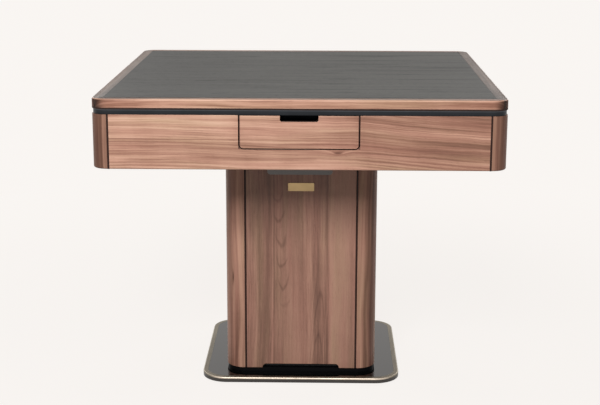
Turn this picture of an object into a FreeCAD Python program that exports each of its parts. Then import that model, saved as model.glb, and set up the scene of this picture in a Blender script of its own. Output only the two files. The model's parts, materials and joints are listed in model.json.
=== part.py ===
import FreeCAD, Part

import math
import os

import Sketcher

# Mahjong table with four chip drawers and a lift-off dining cover.
# Millimetres, +Z up, origin on the floor under the middle of the base.
# The front drawer faces -Y; the four sides run front, right, back, left.

DRIVING = {
    # table top and its height
    "table_side": 1000,
    "table_corner": 36,
    "apron_bottom": 641,
    "apron_high": 133,
    "apron_thick": 18,
    "apron_seam": 4.5,
    "apron_post_flat": 2.5,
    "apron_strip_recess": 1,
    "apron_arris_radius": 4,
    # metal rim between the apron and the cover
    "rim_high": 12.5,
    "rim_recess": 2.5,
    "rim_wall": 3,
    "rim_wide": 44,
    "rim_ledge": 16,
    "rim_above_cloth": 18,
    # lift-off dining cover
    "underboard_thick": 4,
    "cover_thick": 21.5,
    "cover_border": 28,
    "cover_arris_radius": 4.5,
    "cleat_long": 60,
    "cleat_thick": 10,
    "cleat_above_cloth": 3,
    "cleat_gap": 1,
    "cleat_reach": 200,
    # base
    "base_wide": 534,
    "base_deep": 500,
    "base_corner": 68,
    "pad_thick": 3,
    "pad_inset": 12,
    "slab_thick": 9.5,
    "trim_thick": 4.8,
    "trim_wide": 13,
    "trim_arris_radius": 3,
    "plinth_high": 10.8,
    "plinth_inset": 3,
    "plinth_wide": 60,
    "plinth_inner_corner": 4,
    # pedestal
    "pedestal_side": 405,
    "pedestal_corner": 50,
    "pedestal_thick": 18,
    "pedestal_seam": 5,
    "pedestal_post_flat": 1.5,
    "pedestal_strip_recess": 2,
    "panel_play": 0.3,
    "notch_wide": 207,
    "notch_high": 11.3,
    "notch_straight": 1.3,
    "nameplate_wide": 69,
    "nameplate_high": 22,
    "nameplate_thick": 1,
    "nameplate_corner": 2,
    "nameplate_drop": 113.5,
    # steel frame inside the pedestal
    "frame_fit": 0.5,
    "frame_plate": 4,
    "frame_ledge": 64,
    "frame_opening_corner": 7,
    "upright_flat": 2.5,
    "upright_wall": 4,
    "bolt_radius": 4,
    "bolt_head_radius": 7,
    "bolt_head_high": 5,
    "bolt_play": 0.3,
    "bolt_inset": 29,
    # steel tray that closes the machine from below
    "tray_recess": 6,
    "tray_sheet": 2,
    "tray_flange": 12,
    "tray_fit": 0.5,
    # drawers
    "drawer_wide": 289,
    "drawer_high": 81.5,
    "drawer_gap": 2.5,
    "drawer_corner": 11,
    "drawer_top_play": 0.5,
    "finger_wide": 92,
    "finger_deep": 15,
    "finger_corner": 5,
    "chip_box_inset": 14.5,
    "chip_box_clear": 22,
    "chip_box_rise": 5.75,
    "chip_box_wall": 3,
    "chip_box_play": 2,
    "divider_thick": 2,
    "divider_lower": 8,
    "runner_sheet": 2,
    "runner_wide": 20,
    "runner_high": 26,
    "slide_play": 0.3,
    # playing surface
    "board_thick": 10,
    "board_fit": 0.5,
    "cloth_thick": 2,
    "tile_slot_inset": 170,
    "tile_slot_wide": 46,
    "tile_slot_corner": 3,
    "tile_slot_apart": 37,
    "tile_tray_gap": 1,
    "tile_tray_thick": 4,
    "tile_travel": 50,
    "stem_wide": 120,
    "stem_thick": 6,
    "stem_play": 0.5,
    # tile lifts and their covers below the tray
    "lift_wall": 10,
    "lift_deep": 40,
    "lift_floor": 8,
    "lift_hang": 29,
    "lift_above_tray": 52,
    "lift_flange": 3,
    "lift_flange_margin": 12,
    "lift_motor_radius": 17,
    "lift_motor_long": 120,
    "lift_motor_play": 1,
    "motor_cover_beside": 11,
    "motor_cover_below": 7.5,
    "motor_cover_before": 6,
    "motor_cover_behind": 30,
    "motor_cover_sheet": 1.2,
    "motor_cover_corner": 8,
    # tile shuffling machine
    "drum_gap": 45,
    "drum_wall": 3,
    "drum_leg_high": 6,
    "drum_leg_radius": 12,
    "drum_leg_inset": 65,
    "drum_top_play": 13,
    "column_radius": 30,
    "column_wall": 4,
    "column_below_board": 20,
    "bore_play": 0.5,
    "turntable_thick": 4,
    "turntable_hub_radius": 45,
    "turntable_hub_high": 9,
    "turntable_motor_radius": 50,
    "turntable_motor_high": 18,
    "turntable_play": 0.3,
    "wheel_radius": 24,
    "wheel_thick": 20,
    "wheel_inset": 9,
    "wheel_above_dish": 35,
    "wheel_gap": 1,
    "wheel_dish_gap": 3,
    "axle_radius": 3,
    "axle_play": 0.1,
    "ear_thick": 5,
    "ear_deep": 16,
    "ear_over_axle": 8,
    # operating console in the middle of the playing surface
    "console_radius": 94,
    "console_play": 1,
    "dome_below_cover": 1,
    "console_high": 25,
    "console_arris_radius": 4,
    "console_travel": 55,
    "console_stem_play": 0.3,
    "console_stem_overlap": 10,
    "console_rim_wide": 41,
    "dice_rise": 3,
    "dice_plate_gap": 3,
    "dice_plate_thick": 2.7,
    "dice_plate_play": 0.3,
    "dice_side": 12,
    "dice_gap": 9,
    "dome_lip": 4,
    "dome_high": 7,
    "dome_wall": 1.5,
    "button_radius": 8,
    "button_high": 8.5,
    "button_proud": 2,
    "button_travel": 1.5,
    "button_inset": 20,
    "button_play": 0.4,
    "button_pocket_spare": 0.5,
    # electrics in the pedestal
    "control_box_wide": 220,
    "control_box_depth": 90,
    "control_box_high": 160,
    "control_box_inset": 44,
    "inlet_height": 50,
    "inlet_wide": 56,
    "inlet_high": 24,
    "inlet_deep": 30,
    "inlet_play": 0.5,
    "inlet_flange": 4,
    "inlet_flange_thick": 2,
    "socket_wide": 24,
    "socket_high": 17,
    "socket_deep": 15,
    "socket_side": 13,
    "switch_wide": 12,
    "switch_high": 18,
    "switch_thick": 8,
    "switch_proud": 2,
    "switch_play": 0.5,
    "switch_swing": 1.2,
}

SIDES = (("front", 0), ("right", 90), ("back", 180), ("left", 270))
CHIP_CELLS = 4
UP = FreeCAD.Vector(0, 0, 1)
SAME = 1e-6

doc = FreeCAD.newDocument("mahjong_table")
sheet = doc.addObject("Spreadsheet::Sheet", "sizes")
for row, (alias, value) in enumerate(DRIVING.items(), start=1):
    sheet.set(f"A{row}", str(value))
    sheet.setAlias(f"A{row}", alias)
doc.recompute()


class Length:
    """A length worked out from the sheet: its expression and its present value."""

    def __init__(self, text, value):
        self.text = text
        self.value = float(value)

    @staticmethod
    def of(thing):
        return thing if isinstance(thing, Length) else Length(str(thing), thing)

    def __add__(self, other):
        other = Length.of(other)
        return Length(f"({self.text} + {other.text})", self.value + other.value)

    def __sub__(self, other):
        other = Length.of(other)
        return Length(f"({self.text} - {other.text})", self.value - other.value)

    def __mul__(self, other):
        other = Length.of(other)
        return Length(f"({self.text} * {other.text})", self.value * other.value)

    def __truediv__(self, other):
        other = Length.of(other)
        return Length(f"({self.text} / {other.text})", self.value / other.value)

    def __neg__(self):
        return Length(f"(0 - {self.text})", -self.value)


class Sizes:
    """The cells of the sheet, read by name."""

    def __getattr__(self, alias):
        return Length(f"sizes.{alias}", sheet.get(alias))


s = Sizes()
ZERO = Length.of(0)


def bind(thing, prop, length):
    """Ties one property of an object to the sheet."""
    thing.setExpression(prop, Length.of(length).text)


def block(x, y, z):
    """A box between the two lengths given for each axis."""
    box = doc.addObject("Part::Box", "Block")
    for axis, side, (low, high) in zip("xyz", ("Length", "Width", "Height"), (x, y, z)):
        bind(box, side, Length.of(high) - low)
        bind(box, f"Placement.Base.{axis}", low)
    return box


def rod(radius, z, x=ZERO, y=ZERO):
    """An upright cylinder between two heights."""
    cylinder = doc.addObject("Part::Cylinder", "Rod")
    bind(cylinder, "Radius", radius)
    bind(cylinder, "Height", Length.of(z[1]) - z[0])
    bind(cylinder, "Placement.Base.x", x)
    bind(cylinder, "Placement.Base.y", y)
    bind(cylinder, "Placement.Base.z", z[0])
    return cylinder


def axle(radius, half_long, y, z):
    """A cylinder that lies along X, centred on x = 0."""
    cylinder = doc.addObject("Part::Cylinder", "Axle")
    cylinder.Placement.Rotation = FreeCAD.Rotation(FreeCAD.Vector(0, 1, 0), 90)
    bind(cylinder, "Radius", radius)
    bind(cylinder, "Height", half_long * 2)
    bind(cylinder, "Placement.Base.x", -half_long)
    bind(cylinder, "Placement.Base.y", y)
    bind(cylinder, "Placement.Base.z", z)
    return cylinder


def ball(radius, z):
    """A sphere on the table's axis."""
    sphere = doc.addObject("Part::Sphere", "Ball")
    bind(sphere, "Radius", radius)
    bind(sphere, "Placement.Base.z", z)
    return sphere


def cut(base, *tools):
    """The base with each tool taken out of it."""
    for tool in tools:
        result = doc.addObject("Part::Cut", "Cut")
        result.Base = base
        result.Tool = tool
        base = result
    return base


def fuse(*pieces):
    """One solid from pieces that touch or overlap."""
    result = doc.addObject("Part::MultiFuse", "Fuse")
    result.Shapes = list(pieces)
    result.Refine = True
    return result


def common(first, second):
    """What two solids share."""
    result = doc.addObject("Part::MultiCommon", "Common")
    result.Shapes = [first, second]
    return result


def group(pieces):
    """Separate solids held as one object."""
    result = doc.addObject("Part::Compound", "Group")
    result.Links = list(pieces)
    return result


def turned(piece, angle):
    """The piece turned about the table's axis."""
    result = group([piece])
    result.Placement = FreeCAD.Placement(FreeCAD.Vector(), FreeCAD.Rotation(UP, angle))
    return result


def four_times(piece):
    """The piece and its three copies on the other sides of the table."""
    copies = [piece]
    for _, angle in SIDES[1:]:
        link = doc.addObject("App::Link", "Copy")
        link.LinkedObject = piece
        link.LinkTransform = True
        link.Placement = FreeCAD.Placement(FreeCAD.Vector(), FreeCAD.Rotation(UP, angle))
        copies.append(link)
    return group(copies)


def mirrored(piece):
    """The piece's mirror image across the plane x = 0."""
    result = doc.addObject("Part::Mirroring", "Mirror")
    result.Source = piece
    result.Normal = FreeCAD.Vector(1, 0, 0)
    return result


def pin(sketch, geometry, point, place):
    """Holds one point of a sketch at lengths measured from its origin."""
    for kind, length in zip(("DistanceX", "DistanceY"), place):
        held = sketch.addConstraint(
            Sketcher.Constraint(kind, -1, 1, geometry, point, length.value)
        )
        bind(sketch, f"Constraints[{held}]", length)


def heading(start, end):
    """The unit step along the straight run from start to end."""
    across = end[0].value - start[0].value
    up = end[1].value - start[1].value
    run = math.hypot(across, up)
    return round(across / run), round(up / run)


def moved(place, step, length):
    """The place one length further along a unit step."""
    return place[0] + length * step[0], place[1] + length * step[1]


def draw_loop(sketch, corners):
    """One closed loop. A corner is (across, up), or (across, up, radius) at a right angle."""
    count = len(corners)
    places = [(Length.of(corner[0]), Length.of(corner[1])) for corner in corners]
    arrive = []
    leave = []
    for i, corner in enumerate(corners):
        if len(corner) == 3:
            radius = Length.of(corner[2])
            arrive.append(moved(places[i], heading(places[i], places[i - 1]), radius))
            leave.append(moved(places[i], heading(places[i], places[(i + 1) % count]), radius))
        else:
            arrive.append(places[i])
            leave.append(places[i])

    def vector(place):
        return FreeCAD.Vector(place[0].value, place[1].value, 0)

    lines = []
    for i in range(count):
        line = Part.LineSegment(vector(leave[i]), vector(arrive[(i + 1) % count]))
        lines.append(sketch.addGeometry(line, False))
    for i, corner in enumerate(corners):
        before = lines[i - 1]
        after = lines[i]
        pin(sketch, after, 1, leave[i])
        if len(corner) == 2:
            sketch.addConstraint(Sketcher.Constraint("Coincident", before, 2, after, 1))
            continue
        pin(sketch, before, 2, arrive[i])
        start = vector(arrive[i])
        end = vector(leave[i])
        corner_point = vector(places[i])
        centre = start + end - corner_point
        middle = centre + (corner_point - centre).normalize() * Length.of(corner[2]).value
        arc = sketch.addGeometry(Part.Arc(start, middle, end), False)
        turns_left = (start - centre).cross(end - centre).z > 0
        first, last = (1, 2) if turns_left else (2, 1)
        sketch.addConstraint(Sketcher.Constraint("Coincident", before, 2, arc, first))
        sketch.addConstraint(Sketcher.Constraint("Coincident", arc, last, after, 1))
        radius = Length.of(corner[2])
        held = sketch.addConstraint(Sketcher.Constraint("Radius", arc, radius.value))
        bind(sketch, f"Constraints[{held}]", radius)


def draw_circle(sketch, x, y, radius):
    """One whole circle."""
    centre = FreeCAD.Vector(x.value, y.value, 0)
    circle = sketch.addGeometry(Part.Circle(centre, UP, radius.value), False)
    pin(sketch, circle, 3, (x, y))
    held = sketch.addConstraint(Sketcher.Constraint("Radius", circle, radius.value))
    bind(sketch, f"Constraints[{held}]", radius)


def sketched(plane, loops, offset):
    """A body and its sketch on one of its own origin planes."""
    body = doc.addObject("PartDesign::Body", "Body")
    origin_plane = next(f for f in body.Origin.OriginFeatures if f.Role == plane)
    sketch = body.newObject("Sketcher::SketchObject", "Outline")
    sketch.AttachmentSupport = [(origin_plane, "")]
    sketch.MapMode = "FlatFace"
    bind(sketch, "AttachmentOffset.Base.z", offset)
    for loop in loops:
        draw_loop(sketch, loop)
    return body, sketch


def plate(plane, loops, low, high, circles=()):
    """An outline padded between two offsets from its plane; XZ_Plane counts towards -Y."""
    body, sketch = sketched(plane, loops, low)
    for circle in circles:
        draw_circle(sketch, *(Length.of(part) for part in circle))
    pad = body.newObject("PartDesign::Pad", "Pad")
    pad.Profile = sketch
    bind(pad, "Length", Length.of(high) - low)
    return body


def turning(loop):
    """A half outline on the XZ plane turned all the way round the Z axis."""
    body, sketch = sketched("XZ_Plane", [loop], ZERO)
    turn = body.newObject("PartDesign::Revolution", "Turning")
    turn.Profile = sketch
    turn.ReferenceAxis = (sketch, ["V_Axis"])
    turn.Angle = 360
    return body


def oblong(half_wide, half_deep, radius):
    """The corners of a rounded rectangle about the origin."""
    return [
        (-half_wide, -half_deep, radius),
        (half_wide, -half_deep, radius),
        (half_wide, half_deep, radius),
        (-half_wide, half_deep, radius),
    ]


def window(low_x, high_x, low_y, high_y, radius=None):
    """The corners of a rectangle between two lengths on each axis."""
    ends = ((low_x, low_y), (high_x, low_y), (high_x, high_y), (low_x, high_y))
    return [end if radius is None else (*end, radius) for end in ends]


def round_outer_arris(body, height, half_wide, half_deep, radius):
    """Rounds the outer edges of a body at one height."""
    doc.recompute()
    solid = body.Tip
    names = []
    for number, edge in enumerate(solid.Shape.Edges, start=1):
        box = edge.BoundBox
        level = abs(box.ZMin - height.value) < SAME and abs(box.ZMax - height.value) < SAME
        at_side = max(-box.XMin, box.XMax) > half_wide.value - SAME
        at_end = max(-box.YMin, box.YMax) > half_deep.value - SAME
        if level and (at_side or at_end):
            names.append(f"Edge{number}")
    fillet = body.newObject("PartDesign::Fillet", "Arris")
    fillet.Base = (solid, names)
    bind(fillet, "Radius", radius)
    body.Tip = fillet
    return body


NODES = {}


def node(label, piece):
    """Names a finished sub-part."""
    piece.Label = label
    NODES[label] = piece
    return piece


# heights, from the floor up
slab_bottom = s.pad_thick
trim_bottom = slab_bottom + s.slab_thick
base_top = trim_bottom + s.trim_thick
pedestal_bottom = base_top + s.plinth_high
tray_bottom = s.apron_bottom + s.tray_recess
tray_top = tray_bottom + s.tray_sheet
apron_top = s.apron_bottom + s.apron_high
rim_top = apron_top + s.rim_high
cover_bottom = rim_top + s.underboard_thick
table_top = cover_bottom + s.cover_thick
cloth_top = rim_top - s.rim_above_cloth
board_top = cloth_top - s.cloth_thick
board_bottom = board_top - s.board_thick

# plan sizes
table_half = s.table_side / 2
apron_inside = table_half - s.apron_thick
apron_seam_outer = table_half - s.table_corner - s.apron_post_flat
apron_seam_inner = apron_seam_outer - s.apron_seam
pedestal_half = s.pedestal_side / 2
pedestal_inside = pedestal_half - s.pedestal_thick
pedestal_seam_outer = pedestal_half - s.pedestal_corner - s.pedestal_post_flat
pedestal_seam_inner = pedestal_seam_outer - s.pedestal_seam
frame_half = pedestal_inside - s.frame_fit
bolt_reach = frame_half - s.bolt_inset
notch_corner = s.notch_high - s.notch_straight
frame_corner = s.pedestal_corner - s.pedestal_thick - s.frame_fit
rim_inside = table_half - s.rim_wide
tile_reach = table_half - s.tile_slot_inset
tile_slot_half = tile_reach - s.tile_slot_wide / 2 - s.tile_slot_apart
lift_inside = tile_reach - s.lift_deep / 2
lift_outside = tile_reach + s.lift_deep / 2
lift_half_wide = s.stem_wide / 2 + s.stem_play + s.lift_wall
lift_low = tray_bottom - s.lift_hang
motor_reach = lift_outside + s.lift_motor_radius - s.lift_wall
drum_radius = lift_inside - s.drum_gap
wheel_reach = drum_radius - s.wheel_inset
console_top = rim_top - s.dome_below_cover - s.dome_high
dice_well_radius = s.console_radius - s.console_rim_wide
dice_well_deep = s.dice_plate_play + s.dice_plate_thick + s.dice_side - s.dice_rise
button_reach = s.console_radius - s.button_inset
base_half_wide = s.base_wide / 2
base_half_deep = s.base_deep / 2


def quarter(ring):
    """The front quarter of a square ring, mitred at its corners."""
    wedge = doc.addObject("Part::Wedge", "Mitre")
    for prop, length in (
        ("Xmin", -s.table_side),
        ("Xmax", s.table_side),
        ("X2min", ZERO),
        ("X2max", ZERO),
        ("Ymin", -s.table_side),
        ("Ymax", ZERO),
        ("Zmin", ZERO),
        ("Zmax", s.table_side),
        ("Z2min", ZERO),
        ("Z2max", s.table_side),
    ):
        bind(wedge, prop, length)
    return common(ring, wedge)


def corner_post(half, thick, radius, seam, z):
    """A corner piece with a round outside, at the front right."""
    inside = half - thick
    corners = [
        (seam, -half),
        (half, -half, radius),
        (half, -seam),
        (inside, -seam),
        (inside, -inside, radius - thick),
        (seam, -inside),
    ]
    return plate("XY_Plane", [corners], *z)


def build_base():
    """Rubber pad, steel slab, metal trim, gloss top and plinth."""
    wide = base_half_wide - s.pad_inset
    deep = base_half_deep - s.pad_inset
    pad = plate("XY_Plane", [oblong(wide, deep, s.base_corner - s.pad_inset)], ZERO, slab_bottom)
    node("base_pad", pad)

    outer = oblong(base_half_wide, base_half_deep, s.base_corner)
    threads = [(x, y, s.bolt_radius + s.bolt_play) for x, y in bolt_places()]
    node("base_plate", plate("XY_Plane", [outer], slab_bottom, trim_bottom, threads))

    wide = base_half_wide - s.trim_wide
    deep = base_half_deep - s.trim_wide
    inner = oblong(wide, deep, s.base_corner - s.trim_wide)
    trim = plate("XY_Plane", [outer, inner], trim_bottom, base_top)
    round_outer_arris(trim, base_top, base_half_wide, base_half_deep, s.trim_arris_radius)
    node("base_trim", trim)
    node("base_top_panel", plate("XY_Plane", [inner], trim_bottom, base_top, threads))

    half = pedestal_half - s.plinth_inset
    ring = [
        oblong(half, half, s.pedestal_corner - s.plinth_inset),
        oblong(half - s.plinth_wide, half - s.plinth_wide, s.plinth_inner_corner),
    ]
    node("pedestal_plinth", plate("XY_Plane", ring, base_top, pedestal_bottom, threads))


def bolt_places():
    """The four bolts through the frame's foot plate, one near the middle of each side."""
    return [(ZERO, -bolt_reach), (bolt_reach, ZERO), (ZERO, bolt_reach), (-bolt_reach, ZERO)]


def build_pedestal_frame():
    """Welded steel frame: foot plate, four angle uprights and head plate, with its bolts."""
    half = frame_half
    corner = frame_corner
    outer = oblong(half, half, corner)
    opening = oblong(half - s.frame_ledge, half - s.frame_ledge, s.frame_opening_corner)
    foot_top = pedestal_bottom + s.frame_plate
    head_bottom = tray_bottom - s.frame_plate
    threads = [(x, y, s.bolt_radius + s.bolt_play) for x, y in bolt_places()]
    foot = plate("XY_Plane", [outer, opening], pedestal_bottom, foot_top, threads)
    head = plate("XY_Plane", [outer, opening], head_bottom, tray_bottom)
    inner = half - corner - s.upright_flat
    angle = [
        (inner, -half),
        (half, -half, corner),
        (half, -inner),
        (half - s.upright_wall, -inner),
        (half - s.upright_wall, -half + s.upright_wall, corner - s.upright_wall),
        (inner, -half + s.upright_wall),
    ]
    uprights = four_times(plate("XY_Plane", [angle], foot_top, head_bottom))
    node("pedestal_frame", fuse(foot, head, uprights))

    shank = rod(s.bolt_radius, (slab_bottom, foot_top), ZERO, -bolt_reach)
    head_z = (foot_top, foot_top + s.bolt_head_high)
    bolt = fuse(shank, rod(s.bolt_head_radius, head_z, ZERO, -bolt_reach))
    node("frame_bolts", four_times(bolt))


def build_pedestal_skin():
    """Four veneered panels, four quarter-round posts and the dark strips between them."""
    z = (pedestal_bottom, tray_bottom)
    half = pedestal_seam_inner
    notch = s.notch_wide / 2
    notch_top = pedestal_bottom + s.notch_high
    door = [
        (-half, pedestal_bottom),
        (-notch, pedestal_bottom),
        (-notch, notch_top, notch_corner),
        (notch, notch_top, notch_corner),
        (notch, pedestal_bottom),
        (half, pedestal_bottom),
        (half, tray_bottom - s.panel_play),
        (-half, tray_bottom - s.panel_play),
    ]
    node("pedestal_panel_front", plate("XZ_Plane", [door], pedestal_inside, pedestal_half))
    board = window(-half, half, *z)
    inlet = window(
        -(s.inlet_wide / 2) - s.inlet_play,
        s.inlet_wide / 2 + s.inlet_play,
        inlet_low() - s.inlet_play,
        inlet_low() + s.inlet_high + s.inlet_play,
    )
    for side, angle in SIDES[1:]:
        loops = [board, inlet] if side == "back" else [board]
        panel = plate("XZ_Plane", loops, pedestal_inside, pedestal_half)
        node(f"pedestal_panel_{side}", turned(panel, angle))

    post = corner_post(pedestal_half, s.pedestal_thick, s.pedestal_corner, pedestal_seam_outer, z)
    node("pedestal_posts", four_times(post))

    strip_x = (pedestal_seam_inner + s.panel_play, pedestal_seam_outer)
    strip_y = (-pedestal_half + s.pedestal_strip_recess, -pedestal_inside)
    strip = block(strip_x, strip_y, z)
    node("pedestal_seam_strips", four_times(group([strip, mirrored(strip)])))

    middle = tray_bottom - s.nameplate_drop
    high = s.nameplate_high / 2
    wide = s.nameplate_wide / 2
    face = window(-wide, wide, middle - high, middle + high, s.nameplate_corner)
    nameplate = plate("XZ_Plane", [face], pedestal_half, pedestal_half + s.nameplate_thick)
    node("nameplate", nameplate)


def build_apron():
    """Four apron boards cut out for the drawers, four round corner posts and the seam strips."""
    half = apron_seam_inner
    cut_half = (s.drawer_wide + s.drawer_gap) / 2
    cut_low = apron_top - s.drawer_high - s.drawer_gap / 2
    cut_corner = s.drawer_corner + s.drawer_gap / 2
    board = [
        (-half, s.apron_bottom),
        (half, s.apron_bottom),
        (half, apron_top),
        (cut_half, apron_top),
        (cut_half, cut_low, cut_corner),
        (-cut_half, cut_low, cut_corner),
        (-cut_half, apron_top),
        (-half, apron_top),
    ]
    z = (s.apron_bottom, apron_top)
    envelope = plate("XY_Plane", [oblong(table_half, table_half, s.table_corner)], *z)
    round_outer_arris(envelope, s.apron_bottom, table_half, table_half, s.apron_arris_radius)
    for side, angle in SIDES:
        panel = common(plate("XZ_Plane", [board], apron_inside, table_half), envelope)
        node(f"apron_panel_{side}", turned(panel, angle))
    post = corner_post(table_half, s.apron_thick, s.table_corner, apron_seam_outer, z)
    node("apron_posts", four_times(common(post, envelope)))
    strip_y = (-table_half + s.apron_strip_recess, -apron_inside)
    strip = block((apron_seam_inner, apron_seam_outer), strip_y, z)
    node("apron_seam_strips", four_times(group([strip, mirrored(strip)])))


def build_rim():
    """Four mitred metal rails that stand on the apron and carry the playing board."""
    outer = table_half - s.rim_recess
    radius = s.table_corner - s.rim_recess
    wall = s.rim_wall
    web = rim_inside + wall
    ledge_top = board_bottom
    ledge_bottom = ledge_top - wall
    ledge = rim_inside - s.rim_ledge
    sharp = wall

    def ring(far, near, far_radius, z):
        return plate("XY_Plane", [oblong(far, far, far_radius), oblong(near, near, sharp)], *z)

    bar = ring(outer, rim_inside, radius, (apron_top, rim_top))
    upright = ring(web, rim_inside, sharp + wall, (ledge_bottom, apron_top))
    shelf = ring(rim_inside, ledge, sharp, (ledge_bottom, ledge_top))
    node("rim_rails", four_times(quarter(fuse(bar, upright, shelf))))


def build_under_tray():
    """Folded steel tray that closes the machine space from below."""
    half = apron_inside - s.tray_fit
    radius = s.table_corner - s.apron_thick
    sheet_metal = s.tray_sheet
    hole_wide = lift_half_wide + s.tray_fit
    near = lift_inside - s.tray_fit
    far = lift_outside + s.tray_fit
    holes = [
        window(-hole_wide, hole_wide, -far, -near),
        window(near, far, -hole_wide, hole_wide),
        window(-hole_wide, hole_wide, near, far),
        window(-far, -near, -hole_wide, hole_wide),
    ]
    flat = plate("XY_Plane", [oblong(half, half, radius), *holes], tray_bottom, tray_top)
    inner = half - sheet_metal
    flange = plate(
        "XY_Plane",
        [oblong(half, half, radius), oblong(inner, inner, radius - sheet_metal)],
        tray_top,
        tray_bottom + s.tray_flange,
    )
    node("under_tray", fuse(flat, flange))


def build_cover():
    """Dining cover: four mitred edge rails, the top panel, the underboard and its cleats."""
    inner = table_half - s.cover_border
    outline = oblong(table_half, table_half, s.table_corner)
    opening = window(-inner, inner, -inner, inner)
    ring = plate("XY_Plane", [outline, opening], cover_bottom, table_top)
    round_outer_arris(ring, table_top, table_half, table_half, s.cover_arris_radius)
    node("cover_rails", four_times(quarter(ring)))
    z = (cover_bottom, table_top)
    node("cover_panel", block((-inner, inner), (-inner, inner), z))
    node("cover_underboard", plate("XY_Plane", [outline], rim_top, cover_bottom))
    far = rim_inside - s.cleat_gap
    x = (s.cleat_reach - s.cleat_long / 2, s.cleat_reach + s.cleat_long / 2)
    cleat = block(x, (-far, -far + s.cleat_thick), (cloth_top + s.cleat_above_cloth, rim_top))
    node("cover_cleats", four_times(group([cleat, mirrored(cleat)])))


def build_drawers():
    """Four chip drawers: a veneered front with a finger slot, and a divided box behind it."""
    half = (s.drawer_wide - s.drawer_gap) / 2
    low = apron_top - s.drawer_high + s.drawer_gap / 2
    top = apron_top - s.drawer_top_play
    corner = s.drawer_corner - s.drawer_gap / 2
    finger = s.finger_wide / 2
    finger_low = apron_top - s.finger_deep
    face = [
        (-half, low, corner),
        (half, low, corner),
        (half, top),
        (finger, top),
        (finger, finger_low, s.finger_corner),
        (-finger, finger_low, s.finger_corner),
        (-finger, top),
        (-half, top),
    ]
    wide = s.drawer_wide / 2 - s.chip_box_inset
    box_top = board_bottom - s.rim_wall - s.chip_box_play
    box_low = low + s.chip_box_rise
    far = -apron_inside
    near = -lift_outside - s.chip_box_clear
    wall = s.chip_box_wall
    cell = ((wide - wall) * 2 - s.divider_thick * (CHIP_CELLS - 1)) / CHIP_CELLS
    for side, angle in SIDES:
        front = plate("XZ_Plane", [face], apron_inside, table_half)
        node(f"drawer_front_{side}", turned(front, angle))
        hollows = []
        for number in range(CHIP_CELLS):
            x = -wide + wall + (cell + s.divider_thick) * number
            y = (far + wall, near - wall)
            hollows.append(block((x, x + cell), y, (box_low + wall, box_top)))
        over_dividers = block(
            (-wide + wall, wide - wall), (far + wall, near - wall), (box_top - s.divider_lower, box_top)
        )
        box = block((-wide, wide), (far, near), (box_low, box_top))
        node(f"drawer_box_{side}", turned(cut(box, *hollows, over_dividers), angle))
    inner = wide + s.slide_play
    shelf_top = box_low - s.slide_play
    shelf_low = shelf_top - s.runner_sheet
    angle_iron = [
        (inner + s.runner_sheet, shelf_low),
        (inner + s.runner_sheet, shelf_low + s.runner_high),
        (inner, shelf_low + s.runner_high),
        (inner, shelf_top),
        (inner - s.runner_wide, shelf_top),
        (inner - s.runner_wide, shelf_low),
    ]
    runner = plate("XZ_Plane", [angle_iron], -near, apron_inside)
    node("drawer_runners", four_times(group([runner, mirrored(runner)])))


def board_loops():
    """Outline of the playing board with its four tile slots."""
    half = rim_inside - s.board_fit
    long = tile_slot_half
    near = tile_reach - s.tile_slot_wide / 2
    far = tile_reach + s.tile_slot_wide / 2
    return [
        oblong(half, half, s.tile_slot_corner),
        window(-long, long, -far, -near, s.tile_slot_corner),
        window(near, far, -long, long, s.tile_slot_corner),
        window(-long, long, near, far, s.tile_slot_corner),
        window(-far, -near, -long, long, s.tile_slot_corner),
    ]


def build_playing_surface():
    """Playing board, its cloth and the four tile trays that rise through it."""
    hole = [(ZERO, ZERO, s.console_radius + s.console_play)]
    node("play_board", plate("XY_Plane", board_loops(), board_bottom, board_top, hole))
    node("play_cloth", plate("XY_Plane", board_loops(), board_top, cloth_top, hole))
    long = tile_slot_half - s.tile_tray_gap
    wide = s.tile_slot_wide / 2 - s.tile_tray_gap
    middle = -tile_reach
    tray_low = cloth_top - s.tile_tray_thick
    flat = block((-long, long), (middle - wide, middle + wide), (tray_low, cloth_top))
    half = s.stem_wide / 2
    thick = s.stem_thick / 2
    floor = lift_low + s.lift_floor
    stem_low = floor + s.stem_play + s.tile_travel
    stem = block((-half, half), (middle - thick, middle + thick), (stem_low, tray_low))
    node("tile_trays", four_times(fuse(flat, stem)))

    wide = lift_half_wide
    lift_top = tray_top + s.lift_above_tray
    guide = block((-wide, wide), (-lift_outside, -lift_inside), (lift_low, lift_top))
    margin = s.lift_flange_margin
    flange = block(
        (-wide - margin, wide + margin),
        (-lift_outside - margin, -lift_inside + margin),
        (tray_top, tray_top + s.lift_flange),
    )
    motor_z = tray_bottom - s.lift_motor_radius - s.lift_motor_play
    motor = axle(s.lift_motor_radius, s.lift_motor_long / 2, -motor_reach, motor_z)
    play = s.stem_play
    way = block(
        (-half - play, half + play), (middle - thick - play, middle + thick + play), (floor, lift_top)
    )
    node("tile_lifts", four_times(cut(fuse(guide, flange, motor), way)))

    def tub(shrink, top):
        half_wide = lift_half_wide + s.motor_cover_beside - shrink
        low = motor_z - s.lift_motor_radius - s.motor_cover_below + shrink
        radius = s.motor_cover_corner - shrink
        corners = [
            (-half_wide, low, radius),
            (half_wide, low, radius),
            (half_wide, top),
            (-half_wide, top),
        ]
        behind = lift_inside - s.motor_cover_behind + shrink
        before = motor_reach + s.lift_motor_radius + s.motor_cover_before - shrink
        return plate("XZ_Plane", [corners], behind, before)

    shell = cut(tub(ZERO, tray_bottom), tub(s.motor_cover_sheet, tray_bottom))
    node("lift_motor_covers", four_times(shell))


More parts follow.
